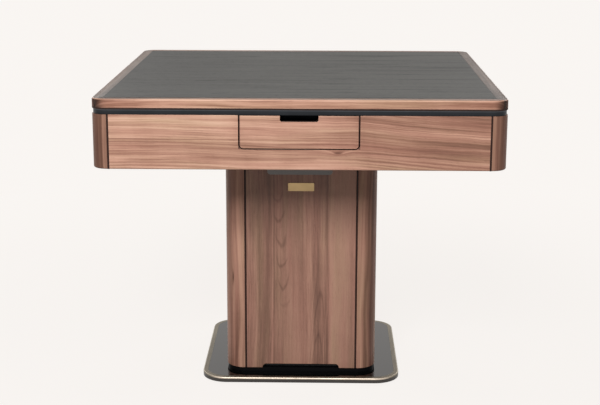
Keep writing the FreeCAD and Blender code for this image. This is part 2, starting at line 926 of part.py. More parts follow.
def build_shuffler():
    """Fixed drum, turntable on its hollow-shaft motor, centre column and four magnet wheels."""
    dish_low = tray_top + s.drum_leg_high
    dish_top = dish_low + s.drum_wall
    bore = s.column_radius + s.bore_play
    drum_top = board_bottom - s.drum_top_play
    inner = drum_radius - s.drum_wall
    drum = turning(
        [
            (bore, dish_low),
            (drum_radius, dish_low),
            (drum_radius, drum_top),
            (inner, drum_top),
            (inner, dish_top),
            (bore, dish_top),
        ]
    )
    leg = rod(s.drum_leg_radius, (tray_top, dish_low), drum_radius - s.drum_leg_inset, ZERO)
    wheel_z = dish_top + s.wheel_above_dish
    wheel_y = -wheel_reach
    near = s.wheel_thick / 2 + s.wheel_gap
    far = near + s.ear_thick
    deep = s.ear_deep / 2
    ear = block((near, far), (wheel_y - deep, wheel_y + deep), (dish_top, wheel_z + s.ear_over_axle))
    notch = block(
        (-far - s.wheel_gap, far + s.wheel_gap), (-drum_radius * 2, wheel_y + deep), (dish_top, drum_top)
    )
    hole = axle(s.axle_radius + s.axle_play, s.drum_wall + far, wheel_y, wheel_z)
    ears = cut(fuse(ear, mirrored(ear)), hole)
    open_drum = cut(drum, four_times(notch))
    node("shuffle_drum", fuse(open_drum, four_times(leg), four_times(ears)))

    motor_top = dish_top + s.turntable_motor_high
    node(
        "turntable_motor",
        plate(
            "XY_Plane",
            [],
            dish_top,
            motor_top,
            [(ZERO, ZERO, s.turntable_motor_radius), (ZERO, ZERO, bore)],
        ),
    )
    hub_low = motor_top + s.turntable_play
    disc_low = hub_low + s.turntable_hub_high
    disc_top = disc_low + s.turntable_thick
    disc_radius = wheel_reach - s.wheel_radius - s.wheel_dish_gap
    disc = [
        (bore, hub_low),
        (s.turntable_hub_radius, hub_low),
        (s.turntable_hub_radius, disc_low),
        (disc_radius, disc_low),
        (disc_radius, disc_top),
        (bore, disc_top),
    ]
    node("turntable", turning(disc))

    column_top = board_bottom - s.column_below_board
    circles = [
        (ZERO, ZERO, s.column_radius),
        (ZERO, ZERO, s.column_radius - s.column_wall),
    ]
    node("console_column", plate("XY_Plane", [], tray_top, column_top, circles))

    for side, angle in SIDES:
        tread = axle(s.wheel_radius, s.wheel_thick / 2, wheel_y, wheel_z)
        pin_rod = axle(s.axle_radius, far, wheel_y, wheel_z)
        node(f"magnet_wheel_{side}", turned(fuse(tread, pin_rod), angle))


def build_console():
    """Round console that rises in the middle: housing, dice plate, dice, dome and buttons."""
    top = console_top
    low = top - s.console_high
    column_top = board_bottom - s.column_below_board
    stem_radius = s.column_radius - s.column_wall - s.console_stem_play
    stem_low = column_top - s.console_travel - s.console_stem_overlap
    well_floor = top - dice_well_deep
    profile = [
        (ZERO, stem_low),
        (stem_radius, stem_low),
        (stem_radius, low),
        (s.console_radius, low),
        (s.console_radius, top, s.console_arris_radius),
        (dice_well_radius, top),
        (dice_well_radius, well_floor),
        (ZERO, well_floor),
    ]
    button_low = top + s.button_proud - s.button_high
    pocket_low = button_low - s.button_travel - s.button_pocket_spare
    pocket_radius = s.button_radius + s.button_play
    pocket = rod(pocket_radius, (pocket_low, top), ZERO, -button_reach)
    node("console_housing", cut(turning(profile), four_times(pocket)))
    for side, angle in SIDES:
        cap = rod(s.button_radius, (button_low, top + s.button_proud), ZERO, -button_reach)
        node(f"console_button_{side}", turned(cap, angle))

    plate_low = well_floor + s.dice_plate_play
    plate_top = plate_low + s.dice_plate_thick
    node("dice_plate", rod(dice_well_radius - s.dice_plate_gap, (plate_low, plate_top)))
    half = s.dice_side / 2
    x = (s.dice_gap, s.dice_gap + s.dice_side)
    die = block(x, (-half, half), (plate_top, plate_top + s.dice_side))
    node("dice_pair", group([die, mirrored(die)]))

    reach = dice_well_radius + s.dome_lip
    rise = s.dome_high
    sphere = (reach * reach + rise * rise) / (rise * 2)
    centre = top + rise - sphere
    shell = cut(ball(sphere, centre), ball(sphere - s.dome_wall, centre))
    node("console_dome", common(shell, rod(reach, (top, top + rise * 2))))


def inlet_low():
    """The bottom of the mains inlet's body in the back panel."""
    return pedestal_bottom + s.inlet_height


def build_electrics():
    """Control box, mains inlet and its rocker switch."""
    half = s.control_box_wide / 2
    floor = pedestal_bottom + s.frame_plate
    back = frame_half - s.control_box_inset
    y = (back - s.control_box_depth, back)
    node("control_box", block((-half, half), y, (floor, floor + s.control_box_high)))

    half = s.inlet_wide / 2
    low = inlet_low()
    high = low + s.inlet_high
    middle = low + s.inlet_high / 2
    face = pedestal_half + s.inlet_flange_thick
    body = block((-half, half), (pedestal_half - s.inlet_deep, pedestal_half), (low, high))
    rim = s.inlet_flange
    flange = block((-half - rim, half + rim), (pedestal_half, face), (low - rim, high + rim))

    def pocket(side, wide, tall, deep):
        x = (side - wide / 2, side + wide / 2)
        return block(x, (face - deep, face), (middle - tall / 2, middle + tall / 2))

    play = s.switch_play
    socket = pocket(-s.socket_side, s.socket_wide, s.socket_high, s.socket_deep)
    seat_deep = s.switch_thick - s.switch_proud + s.switch_swing
    seat = pocket(s.socket_side, s.switch_wide + play * 2, s.switch_high + play * 2, seat_deep)
    node("power_inlet", cut(fuse(body, flange), socket, seat))
    x = (s.socket_side - s.switch_wide / 2, s.socket_side + s.switch_wide / 2)
    y = (face + s.switch_proud - s.switch_thick, face + s.switch_proud)
    z = (middle - s.switch_high / 2, middle + s.switch_high / 2)
    node("power_switch", block(x, y, z))


def export():
    """Checks every object and writes each sub-part to its own file."""
    doc.recompute()
    failed = [o.Label for o in doc.Objects if "Invalid" in o.State or "Error" in o.State]
    for label, piece in NODES.items():
        if piece.Shape.isNull() or not piece.Shape.isValid() or not piece.Shape.Solids:
            failed.append(label)
    if failed:
        raise RuntimeError("objects that did not build: " + ", ".join(failed))
    os.makedirs("parts", exist_ok=True)
    for label, piece in NODES.items():
        piece.Shape.exportStep(f"parts/{label}.step")


build_base()
build_pedestal_frame()
build_pedestal_skin()
build_apron()
build_rim()
build_under_tray()
build_cover()
build_drawers()
build_playing_surface()
build_shuffler()
build_console()
build_electrics()
export()
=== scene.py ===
import json
import logging
import math
from dataclasses import dataclass
from enum import Enum
from functools import lru_cache
from typing import Callable, Optional, Sequence, Union

import bmesh
import bpy
from mathutils import Matrix, Vector
from mathutils.bvhtree import BVHTree


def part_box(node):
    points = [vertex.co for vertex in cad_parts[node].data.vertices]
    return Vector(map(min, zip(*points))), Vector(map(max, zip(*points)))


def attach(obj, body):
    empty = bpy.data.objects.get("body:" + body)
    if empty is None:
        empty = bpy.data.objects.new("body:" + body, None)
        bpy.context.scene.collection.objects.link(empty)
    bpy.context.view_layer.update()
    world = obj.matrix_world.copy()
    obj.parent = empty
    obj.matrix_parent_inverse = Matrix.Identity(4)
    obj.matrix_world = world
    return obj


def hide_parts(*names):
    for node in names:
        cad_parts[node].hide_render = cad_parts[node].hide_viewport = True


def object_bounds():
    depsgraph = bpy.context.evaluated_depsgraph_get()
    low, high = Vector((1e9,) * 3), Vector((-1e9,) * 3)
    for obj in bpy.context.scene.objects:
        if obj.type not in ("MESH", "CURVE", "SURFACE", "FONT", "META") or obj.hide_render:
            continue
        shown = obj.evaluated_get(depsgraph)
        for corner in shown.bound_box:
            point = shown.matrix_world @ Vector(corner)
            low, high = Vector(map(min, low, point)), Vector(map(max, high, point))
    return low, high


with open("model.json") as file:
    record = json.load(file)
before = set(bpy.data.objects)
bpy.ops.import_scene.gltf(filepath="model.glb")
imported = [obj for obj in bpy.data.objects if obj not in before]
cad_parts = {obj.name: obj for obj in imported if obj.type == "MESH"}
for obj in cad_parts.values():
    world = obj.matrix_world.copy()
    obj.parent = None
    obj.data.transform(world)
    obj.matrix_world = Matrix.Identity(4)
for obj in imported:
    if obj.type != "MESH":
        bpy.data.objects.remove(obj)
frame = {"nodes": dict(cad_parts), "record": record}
CAD_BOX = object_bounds()

# A mahjong table with four chip drawers, under its dining cover.
# Metres, +Z up; the four sides run front, right, back, left.

log = logging.getLogger("mahjong_table")

Colour = tuple[float, float, float]
Point = tuple[float, float, float]

RECORD = frame["record"]
BODY_OF = {n: body for body, nodes in RECORD["behaviour"]["bodies"].items() for n in nodes}
TABLE_HALF, TABLE_TOP = CAD_BOX[1][0], CAD_BOX[1][2]
RIM_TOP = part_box("rim_rails")[1][2]
DRAWER_LOW, DRAWER_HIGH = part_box("drawer_front_front")
DRAWER_HALF, DRAWER_BOTTOM = DRAWER_HIGH[0], DRAWER_LOW[2]
DRAWER_MIDDLE = (DRAWER_LOW[2] + DRAWER_HIGH[2]) / 2
HALF_JOINT = 0.00055
WELD = 2e-6
SHARP = math.radians(32)
FLAT = math.radians(0.3)
ON_DIAGONAL = 1e-5
SHEET_SHIFT = 3.7


class Side(Enum):
    """The four sides of the table, with the angle that turns each one to the front."""

    FRONT = 0
    RIGHT = -90
    BACK = -180
    LEFT = -270

    @property
    def word(self) -> str:
        """The side's name as the pieces carry it."""
        return self.name.lower()

    @property
    def way(self) -> float:
        """Which way round the side's veneer sheets lie: a sheet and its neighbour are a pair."""
        return 1.0 if self in (Side.FRONT, Side.BACK) else -1.0

    @property
    def seed(self) -> float:
        """A shift that gives each side another sheet of veneer."""
        return -self.value / 90 * SHEET_SHIFT


class Grain(Enum):
    """How the grain of a veneer runs."""

    LEVEL = "level along the side"
    UPRIGHT = "upright"
    POSTS = "upright on the four corner posts"
    RAILS = "along each of four rails"


# ---- shader maths


def math_method(operation: str, swapped: bool = False) -> Callable[["Signal", "Number"], "Signal"]:
    """Makes a Signal's method that adds one Math node.

    Args:
        operation: The node's operation.
        swapped: Whether the other term comes first.

    Returns:
        The method.
    """

    def method(signal: "Signal", other: "Number") -> "Signal":
        """Adds the node."""
        terms = (other, signal) if swapped else (signal, other)
        return signal.maths(operation, *terms)

    return method


class Signal:
    """A number that varies over a surface; expressions on it add Math nodes."""

    __add__ = __radd__ = math_method("ADD")
    __sub__ = math_method("SUBTRACT")
    __rsub__ = math_method("SUBTRACT", swapped=True)
    __mul__ = __rmul__ = math_method("MULTIPLY")
    __truediv__ = math_method("DIVIDE")
    __rtruediv__ = math_method("DIVIDE", swapped=True)
    __pow__ = math_method("POWER")
    __gt__ = math_method("GREATER_THAN")
    __lt__ = math_method("LESS_THAN")

    def __init__(self, tree: bpy.types.NodeTree, socket: bpy.types.NodeSocket) -> None:
        """Holds the socket that carries the number."""
        self.tree = tree
        self.socket = socket

    def maths(self, operation: str, *terms: "Number", clamp: bool = False) -> "Signal":
        """Adds one Math node.

        Args:
            operation: The node's operation.
            terms: Its inputs, in order.
            clamp: Whether the result is held between 0 and 1.

        Returns:
            The node's result.
        """
        node = self.tree.nodes.new("ShaderNodeMath")
        node.operation = operation
        node.use_clamp = clamp
        for socket, term in zip(node.inputs, terms):
            if isinstance(term, Signal):
                self.tree.links.new(term.socket, socket)
            else:
                socket.default_value = term
        return Signal(self.tree, node.outputs[0])

    def __abs__(self) -> "Signal":
        """Size without its sign."""
        return self.maths("ABSOLUTE", self)

    def sine(self) -> "Signal":
        """Sine of this, in radians."""
        return self.maths("SINE", self)

    def held(self) -> "Signal":
        """This, held between 0 and 1."""
        return self.maths("ADD", self, 0.0, clamp=True)


Number = Union[float, Signal]
Feed = Union[float, Sequence[float], Signal, bpy.types.NodeSocket]


@dataclass(frozen=True)
class Waves:
    """A noise: its waves in each metre along three axes, its octaves and how rough they are."""

    first: float
    second: float
    third: float
    detail: float = 2.0
    rough: float = 0.5


class Paint:
    """The nodes of one material, or of the world."""

    def __init__(self, owner: Union[bpy.types.Material, bpy.types.World]) -> None:
        """Takes over the owner's nodes and empties them.

        Args:
            owner: The material or the world.
        """
        owner.use_nodes = True
        self.owner = owner
        self.tree = owner.node_tree
        self.tree.nodes.clear()

    @classmethod
    def named(cls, name: str) -> "Paint":
        """Starts an empty material of that name."""
        return cls(bpy.data.materials.new(f"{name}_finish"))

    def add(
        self, kind: str, settings: Optional[dict] = None, sockets: Optional[dict] = None
    ) -> bpy.types.Node:
        """Adds any node.

        Args:
            kind: The node's type.
            settings: Its properties, set first; "stops" are a ramp's (place, colour) pairs.
            sockets: Values or links for its inputs, by name or number.

        Returns:
            The node.
        """
        node = self.tree.nodes.new(kind)
        for key, value in (settings or {}).items():
            if key == "stops":
                self.set_stops(node.color_ramp.elements, value)
            else:
                setattr(node, key, value)
        for key, value in (sockets or {}).items():
            self.feed(node.inputs[key], value)
        return node

    @staticmethod
    def set_stops(elements: bpy.types.ColorRampElements, stops: Sequence[tuple[float, Colour]]) -> None:
        """Sets the stops of a colour ramp.

        Args:
            elements: The ramp's elements.
            stops: Each stop's place and colour.
        """
        while len(elements) < len(stops):
            elements.new(1.0)
        for element, (place, colour) in zip(elements, stops):
            element.position = place
            element.color = (*colour, 1.0)

    def feed(self, socket: bpy.types.NodeSocket, value: Feed) -> None:
        """Gives an input its value or its link.

        Args:
            socket: The input.
            value: A number, a colour or what it is linked to.
        """
        if isinstance(value, Signal):
            self.tree.links.new(value.socket, socket)
        elif isinstance(value, bpy.types.NodeSocket):
            self.tree.links.new(value, socket)
        elif isinstance(value, tuple) and len(value) == 3 and socket.type == "RGBA":
            socket.default_value = (*value, 1.0)
        else:
            socket.default_value = value

    def placed(self, turn: float = 0.0) -> bpy.types.NodeSocket:
        """Object coordinates, turned about Z by some degrees.

        Args:
            turn: The turn, in degrees.

        Returns:
            The coordinates.
        """
        source = self.add("ShaderNodeTexCoord").outputs["Object"]
        if turn == 0.0:
            return source
        sockets = {"Vector": source, "Rotation": (0.0, 0.0, math.radians(turn))}
        return self.add("ShaderNodeMapping", {"vector_type": "POINT"}, sockets).outputs["Vector"]

    def parts(self, vector: bpy.types.NodeSocket) -> tuple[Signal, Signal, Signal]:
        """The three numbers of a vector.

        Args:
            vector: The vector.

        Returns:
            Its x, y and z.
        """
        node = self.add("ShaderNodeSeparateXYZ", sockets={"Vector": vector})
        x, y, z = (Signal(self.tree, output) for output in node.outputs)
        return x, y, z

    def joined(self, x: Number, y: Number, z: Number) -> bpy.types.NodeSocket:
        """A vector from three numbers."""
        return self.add("ShaderNodeCombineXYZ", sockets={0: x, 1: y, 2: z}).outputs[0]

    def noise(
        self, vector: bpy.types.NodeSocket, scale: float = 1.0, detail: float = 2.0, rough: float = 0.5
    ) -> Signal:
        """Smooth noise around 0.5.

        Args:
            vector: Where it is read.
            scale: Waves in each metre.
            detail: Octaves.
            rough: How strong each finer octave is.

        Returns:
            The noise.
        """
        sockets = {"Vector": vector, "Scale": scale, "Detail": detail, "Roughness": rough}
        return Signal(self.tree, self.add("ShaderNodeTexNoise", sockets=sockets).outputs["Fac"])

    def waves(self, waves: Waves, x: Number, y: Number, z: Number, seed: float = 0.0) -> Signal:
        """A noise with its own waves along each axis.

        Args:
            waves: The noise.
            x: Where it is read along its first axis.
            y: The same along its second.
            z: The same along its third.
            seed: A shift along the third, which gives another noise.

        Returns:
            The noise, around 0.5.
        """
        place = self.joined(x * waves.first, y * waves.second, z * waves.third + seed)
        return self.noise(place, 1.0, waves.detail, waves.rough)

    def eased(self, value: Signal, low: float, high: float, start: float = 0.0, end: float = 1.0) -> Signal:
        """A smooth step.

        Args:
            value: What is read.
            low: Where the step starts.
            high: Where it ends.
            start: The result up to low.
            end: The result from high on.

        Returns:
            The step.
        """
        sockets = {"Value": value, "From Min": low, "From Max": high, "To Min": start, "To Max": end}
        node = self.add("ShaderNodeMapRange", {"interpolation_type": "SMOOTHSTEP"}, sockets)
        return Signal(self.tree, node.outputs["Result"])

    def ramp(self, value: Signal, stops: Sequence[tuple[float, Colour]]) -> bpy.types.NodeSocket:
        """Colours along a number."""
        node = self.add("ShaderNodeValToRGB", {"stops": stops}, {"Fac": value})
        return node.outputs["Color"]

    def blend(self, share: Number, first: Feed, second: Feed, mode: str = "MIX") -> bpy.types.NodeSocket:
        """Mixes two colours.

        Args:
            share: How much of the second.
            first: The first colour.
            second: The second colour.
            mode: The Mix node's blend type.

        Returns:
            The mixed colour.
        """
        settings = {"data_type": "RGBA", "blend_type": mode}
        return self.add("ShaderNodeMix", settings, {0: share, 6: first, 7: second}).outputs[2]

    def bump(self, height: Signal, depth: float, strength: float = 1.0) -> bpy.types.NodeSocket:
        """A normal raised by a height.

        Args:
            height: The height, around 0 to 1.
            depth: Metres for a height of 1.
            strength: How strongly it shows.

        Returns:
            The normal.
        """
        sockets = {"Height": height, "Distance": depth, "Strength": strength}
        return self.add("ShaderNodeBump", sockets=sockets).outputs["Normal"]

    def shaded(self, **sockets: Feed) -> bpy.types.Material:
        """Ends the material with a Principled shader.

        Args:
            sockets: Its inputs, with _ for each space in a name.

        Returns:
            The material.
        """
        named = {key.replace("_", " "): value for key, value in sockets.items()}
        shader = self.add("ShaderNodeBsdfPrincipled", sockets=named)
        return self.ended(shader.outputs[0])

    def ended(
        self, surface: bpy.types.NodeSocket, output: str = "ShaderNodeOutputMaterial"
    ) -> Union[bpy.types.Material, bpy.types.World]:
        """Ends the nodes with any surface, and returns what they belong to."""
        self.add(output, sockets={"Surface": surface})
        return self.owner


# ---- finishes

# Painted shade: the dark at the mitres and inside the drawer opening, and the shade along the drawer's
# joint.
SHADE_DARK: Colour = (0.010, 0.0045, 0.0035)
JOINT_SHADE: Colour = (0.070, 0.026, 0.018)
# Painted shade for the rails' top faces, where less light falls than on their fronts.
TOP_SHADE_STOPS = (
    (0.12, (0.052, 0.037, 0.029)),
    (0.45, (0.108, 0.078, 0.062)),
    (0.85, (0.182, 0.130, 0.101)),
)
TINTS = ((0.30, (1.0, 0.91, 0.92)), (0.50, (0.99, 0.96, 0.95)), (0.70, (0.95, 1.0, 0.92)))

# The noises of the walnut, along the grain, into the piece and across the grain.
SLOW = Waves(2.4, 3.0, 6.0, 1.5)
WAVY = Waves(26.0, 12.0, 20.0, 1.0)
BROAD = Waves(1.1, 4.0, 15.0, 1.5)
CURL = Waves(15.0, 4.0, 2.2)
CURL_LEAN = 0.27
PORE = Waves(75.0, 32.0, 1250.0, 1.0)
HUE = Waves(3.0, 4.0, 30.0)
HUE_SEED = 40.0
LINE_DRIFT, LINE_WAVE = 0.030, 0.0024
MIDDLE_TONE = 0.55
PORE_SPAN, PORE_DARK = (0.58, 0.70), 0.07
STRIP_FADE = 0.03

# How far a face leans up, from 0 for upright to 1 for flat: on the arris with its painted highlight, a top
# with its painted shade, an outer face with its painted shade at the mitres.
ARRIS_FROM, ARRIS_TO = (0.20, 0.50), (0.90, 0.98)
TOP_FROM = (0.80, 0.97)
OUTER_TO = (0.35, 0.80)
# Share of the top's painted shade on the front and back rails, and on the side rails.
TOP_SHADE_FRONT, TOP_SHADE_SIDE = 0.35, 1.0

# Where the walnut gets painted shade: the mitres, the left ends, the drawer's joint and its opening.
CORNER_REACH = 0.06
MITRE_SPAN = (0.006, 0.042)
LEFT_SPAN = (-0.47, -0.26)
JOINT_SPAN = (0.0017, 0.0033)
JOINT_DARK = 0.80
OPENING_REACH = (0.00875, 0.00575)
SHADE_SOFT = 0.0003


def toned(colour: Colour, share: float, lift: float = 0.0) -> Colour:
    """A colour times a share, lifted a little and held at 1."""
    return tuple(min(1.0, part * share + lift) for part in colour)


@dataclass(frozen=True)
class Strip:
    """A band of the veneer that runs with the grain, and what it adds to the tone."""

    at: float
    half: float
    soft: float
    lift: float
    start: float = -1.0
    end: float = 1.0


@dataclass(frozen=True)
class Knot:
    """A small knot that the grain bends around."""

    along: float
    across: float
    long: float
    wide: float
    bend: float
    dark: float
    post: Optional[int] = None


@dataclass(frozen=True)
class Slope:
    """Where the sheet gets darker along the grain, and where its lines run off at an angle."""

    dark_from: float
    dark_to: float
    dark: float
    start: float = 0.0
    rise: float = 0.0


@dataclass(frozen=True)
class Arches:
    """Nested arches of a plain-sawn sheet; a negative steepness points them up."""

    at: float
    reach: float
    steep: float
    apart: float
    dark: float
    start: float
    end: float
    drift: float = 0.0
    thin: float = 10.0


@dataclass(frozen=True)
class Figure:
    """How strongly each size of figure shows in a veneer."""

    broad: float = 0.62
    bands: float = 0.62
    fine: float = 0.72
    curl: float = 0.30
    lines: float = 62.0
    run: float = 3.0
    fine_run: float = 9.0


@dataclass(frozen=True)
class Walnut:
    """Walnut veneer under satin lacquer."""

    name: str
    grain: Grain
    turn: float = 0.0
    seed: float = 0.0
    stops: tuple[tuple[float, Colour], ...] = (
        (0.10, (0.140, 0.058, 0.036)),
        (0.34, (0.308, 0.154, 0.103)),
        (0.55, (0.508, 0.290, 0.205)),
        (0.80, (0.700, 0.452, 0.336)),
    )
    figure: Figure = Figure()
    slope: Optional[Slope] = None
    strips: tuple[Strip, ...] = ()
    calm: tuple[Strip, ...] = ()
    knots: tuple[Knot, ...] = ()
    arches: tuple[Arches, ...] = ()
    shade: float = 0.0
    burnish: float = 0.0
    # The next four fields give painted light: shade on the top faces, a highlight on the arris, shade at
    # the mitres and shade at the left ends.
    stained_top: float = 0.0
    worn_arris: float = 0.0
    dark_ends: float = 0.0
    end_shade: float = 0.0
    # The next two give painted shade: inside the drawer opening, and along the joint around the drawer.
    cut_edge: Optional[float] = None
    joint_at: Optional[float] = None
    wander: float = 0.012
    mirrored: float = 1.0
    lacquer: float = 0.46
    gloss: float = 0.38

    def material(self) -> bpy.types.Material:
        """Builds the veneer: growth lines, cross figure, strips, knots and pores.

        Returns:
            The material.
        """
        paint = Paint.named(self.name)
        along, depth, across = place = self.axes(paint)
        slow = paint.waves(SLOW, *place, self.seed)
        wavy = paint.waves(WAVY, *place, self.seed)
        line = across + (slow - 0.5) * LINE_DRIFT + (wavy - 0.5) * LINE_WAVE
        tone: Number = MIDDLE_TONE - self.shade
        if self.slope:
            past = along - self.slope.start
            line = line + past.maths("MAXIMUM", past, 0.0) * self.slope.rise
            tone = tone - paint.eased(along, self.slope.dark_from, self.slope.dark_to, 0.0, self.slope.dark)
        for knot in self.knots:
            near = self.nearness(knot, *place)
            line = line + near * knot.bend
            tone = tone - near**5.0 * knot.dark
        figure = self.figure
        bands_size = Waves(figure.run, 4.0, figure.lines, 2.0, 0.6)
        fine_size = Waves(figure.fine_run, 12.0, 230.0, 2.5, 0.65)
        broad = paint.waves(BROAD, along, depth, line, self.seed)
        bands = paint.waves(bands_size, along, depth, line, self.seed)
        fine = paint.waves(fine_size, along, depth, line, self.seed)
        curl = paint.waves(CURL, along + across * CURL_LEAN, depth, across)
        pores = paint.eased(paint.waves(PORE, along, depth, line), *PORE_SPAN)
        grain = (bands - 0.5) * figure.bands + (fine - 0.5) * figure.fine
        wandering = across + (slow - 0.5) * self.wander
        for strip in self.calm:
            grain = grain * (1.0 - self.strip_tone(paint, strip, along, wandering))
        tone = tone + grain + (broad - 0.5) * figure.broad + (curl - 0.5) * figure.curl
        tone = tone - pores * PORE_DARK
        for arches in self.arches:
            tone = tone - self.arch_tone(paint, arches, along, across)
        for strip in self.strips:
            tone = tone + self.strip_tone(paint, strip, along, wandering)
        # The tone grows lighter along the grain.
        if self.burnish:
            tone = tone + along * self.burnish
        if self.end_shade:
            tone = tone - paint.eased(along, *LEFT_SPAN, self.end_shade, 0.0)
        upward = paint.parts(paint.add("ShaderNodeNewGeometry").outputs["True Normal"])[2]
        # Painted highlight on the arris, where the face leans up towards the light.
        if self.worn_arris:
            arris_lit = paint.eased(upward, *ARRIS_FROM) * paint.eased(upward, *ARRIS_TO, 1.0, 0.0)
            tone = tone + arris_lit * self.worn_arris
        hue = paint.waves(HUE, along, depth, line, self.seed + HUE_SEED)
        colour = paint.blend(1.0, paint.ramp(tone, self.stops), paint.ramp(hue, TINTS), "MULTIPLY")
        smear = paint.noise(paint.placed(), 9.0, 3.0)
        roughness = (smear - 0.5) * 0.18 + (pores * 0.12 + self.lacquer)
        # Painted shade on the top faces.
        if self.stained_top:
            colour = self.stained(paint, upward, tone, colour)
        # Painted shade on the outer faces at the mitres, where they turn from the light.
        if self.dark_ends:
            ends = self.mitre_ends(paint, upward)
            colour = paint.blend(ends, colour, SHADE_DARK)
            roughness = roughness + ends * 0.4
        return paint.shaded(
            Base_Color=self.opened(paint, place, colour),
            Roughness=roughness,
            Specular_IOR_Level=self.gloss,
            Coat_Weight=0.06,
            Coat_Roughness=0.22,
            Normal=paint.bump(fine * 0.4 - pores, 0.00012, 0.7),
        )

    def stained(self, paint: Paint, upward: Signal, tone: Signal, colour: Feed) -> Feed:
        """The colour with painted shade on its top faces, fully on the side rails.

        Args:
            paint: The material's nodes.
            upward: How far the face leans up.
            tone: The veneer's tone.
            colour: The colour.

        Returns:
            The colour with its painted shade.
        """
        x, y, _ = paint.parts(paint.placed())
        sideways = abs(x) > abs(y)
        share = (sideways * (TOP_SHADE_SIDE - TOP_SHADE_FRONT) + TOP_SHADE_FRONT) * self.stained_top
        share = paint.eased(upward, *TOP_FROM) * share
        return paint.blend(share, colour, paint.ramp(tone, TOP_SHADE_STOPS))

    def mitre_ends(self, paint: Paint, upward: Signal) -> Signal:
        """How much painted shade the outer face takes at each corner, where two rails meet.

        Args:
            paint: The material's nodes.
            upward: How far the face leans up.

        Returns:
            The share of the dark colour.
        """
        x, y, _ = paint.parts(paint.placed())
        corner = abs(x).maths("MINIMUM", abs(x), abs(y)) > TABLE_HALF - CORNER_REACH
        near = paint.eased(abs(abs(x) - abs(y)), *MITRE_SPAN, self.dark_ends, 0.0)
        return near * corner * paint.eased(upward, *OUTER_TO, 1.0, 0.0)

    def opened(self, paint: Paint, place: Sequence[Signal], colour: Feed) -> Feed:
        """The colour with painted shade along the joint around a drawer and on the faces inside its
        opening.

        Args:
            paint: The material's nodes.
            place: Lengths along the grain, into the piece and across.
            colour: The colour.

        Returns:
            The colour with its dark edges.
        """
        along, depth, across = place
        if self.joint_at is not None:
            joint = paint.eased(abs(abs(along) - self.joint_at), *JOINT_SPAN, JOINT_DARK, 0.0)
            beside = across > DRAWER_BOTTOM - JOINT_SPAN[0]
            colour = paint.blend(joint * beside, colour, JOINT_SHADE)
        # Painted shade on the faces inside the drawer opening.
        if self.cut_edge is not None:
            inside = paint.eased(depth, self.cut_edge, self.cut_edge + SHADE_SOFT)
            sideways, down = OPENING_REACH
            opening = (abs(along) < DRAWER_HALF + sideways) * (across > DRAWER_BOTTOM - down)
            colour = paint.blend(inside * opening, colour, SHADE_DARK)
        return colour

    def axes(self, paint: Paint) -> tuple[Signal, Signal, Signal]:
        """Lengths along the grain, into the piece and across the grain.

        Args:
            paint: The material's nodes.

        Returns:
            The three lengths.
        """
        x, y, z = paint.parts(paint.placed(self.turn))
        if self.grain is Grain.LEVEL:
            return x * self.mirrored, y, z
        if self.grain is Grain.UPRIGHT:
            return z, y, x * self.mirrored
        if self.grain is Grain.POSTS:
            return z, (x > 0.0) * 1.0 + (y > 0.0) * 2.0, abs(x) - abs(y)
        sideways = abs(x) > abs(y)
        along = sideways * y + (1.0 - sideways) * x
        over = sideways * x + (1.0 - sideways) * y
        return along, z, over + z

    @staticmethod
    def nearness(knot: Knot, along: Signal, depth: Signal, across: Signal) -> Signal:
        """1 at the heart of a knot, falling away from it.

        Args:
            knot: The knot.
            along: Length along the grain.
            depth: Length into the piece, or the number of the post.
            across: Length across the grain.

        Returns:
            The nearness.
        """
        reach = ((along - knot.along) / knot.long) ** 2.0 + ((across - knot.across) / knot.wide) ** 2.0
        near = 1.0 / (1.0 + reach)
        if knot.post is None:
            return near
        return near * (1.0 - (abs(depth - float(knot.post)) > 0.5))

    @staticmethod
    def strip_tone(paint: Paint, strip: Strip, along: Signal, across: Signal) -> Signal:
        """How much a strip lifts the tone.

        Args:
            paint: The material's nodes.
            strip: The strip.
            along: Length along the grain.
            across: Length across the grain.

        Returns:
            What it adds to the tone.
        """
        here = paint.eased(abs(across - strip.at), strip.half, strip.half + strip.soft, strip.lift, 0.0)
        if strip.start > -1.0:
            here = here * paint.eased(along, strip.start - STRIP_FADE, strip.start)
        if strip.end < 1.0:
            here = here * paint.eased(along, strip.end, strip.end + STRIP_FADE, 1.0, 0.0)
        return here

    def arch_tone(self, paint: Paint, arches: Arches, along: Signal, across: Signal) -> Signal:
        """How much a set of arches darkens the tone.

        Args:
            paint: The material's nodes.
            arches: The arches.
            along: Length along the grain.
            across: Length across the grain.

        Returns:
            What they take from the tone.
        """
        off = across - arches.at - along * arches.drift
        warp = paint.noise(paint.joined(along * 11.0, 0.3, across * 34.0 + self.seed), detail=2.5)
        height = along - off * off * arches.steep + (warp - 0.5) * 0.075
        wave = (height * (2.0 * math.pi / arches.apart)).sine() * 0.5 + 0.5
        here = paint.eased(abs(off), arches.reach * 0.45, arches.reach, arches.dark, 0.0)
        rise = paint.eased(along, arches.start - 0.03, arches.start + 0.03)
        fall = paint.eased(along, arches.end - 0.04, arches.end + 0.04, 1.0, 0.0)
        return wave**arches.thin * here * rise * fall


@dataclass(frozen=True)
class Streak:
    """A soft dark streak of the dark veneer."""

    x: float
    y: float
    half: float
    dark: float


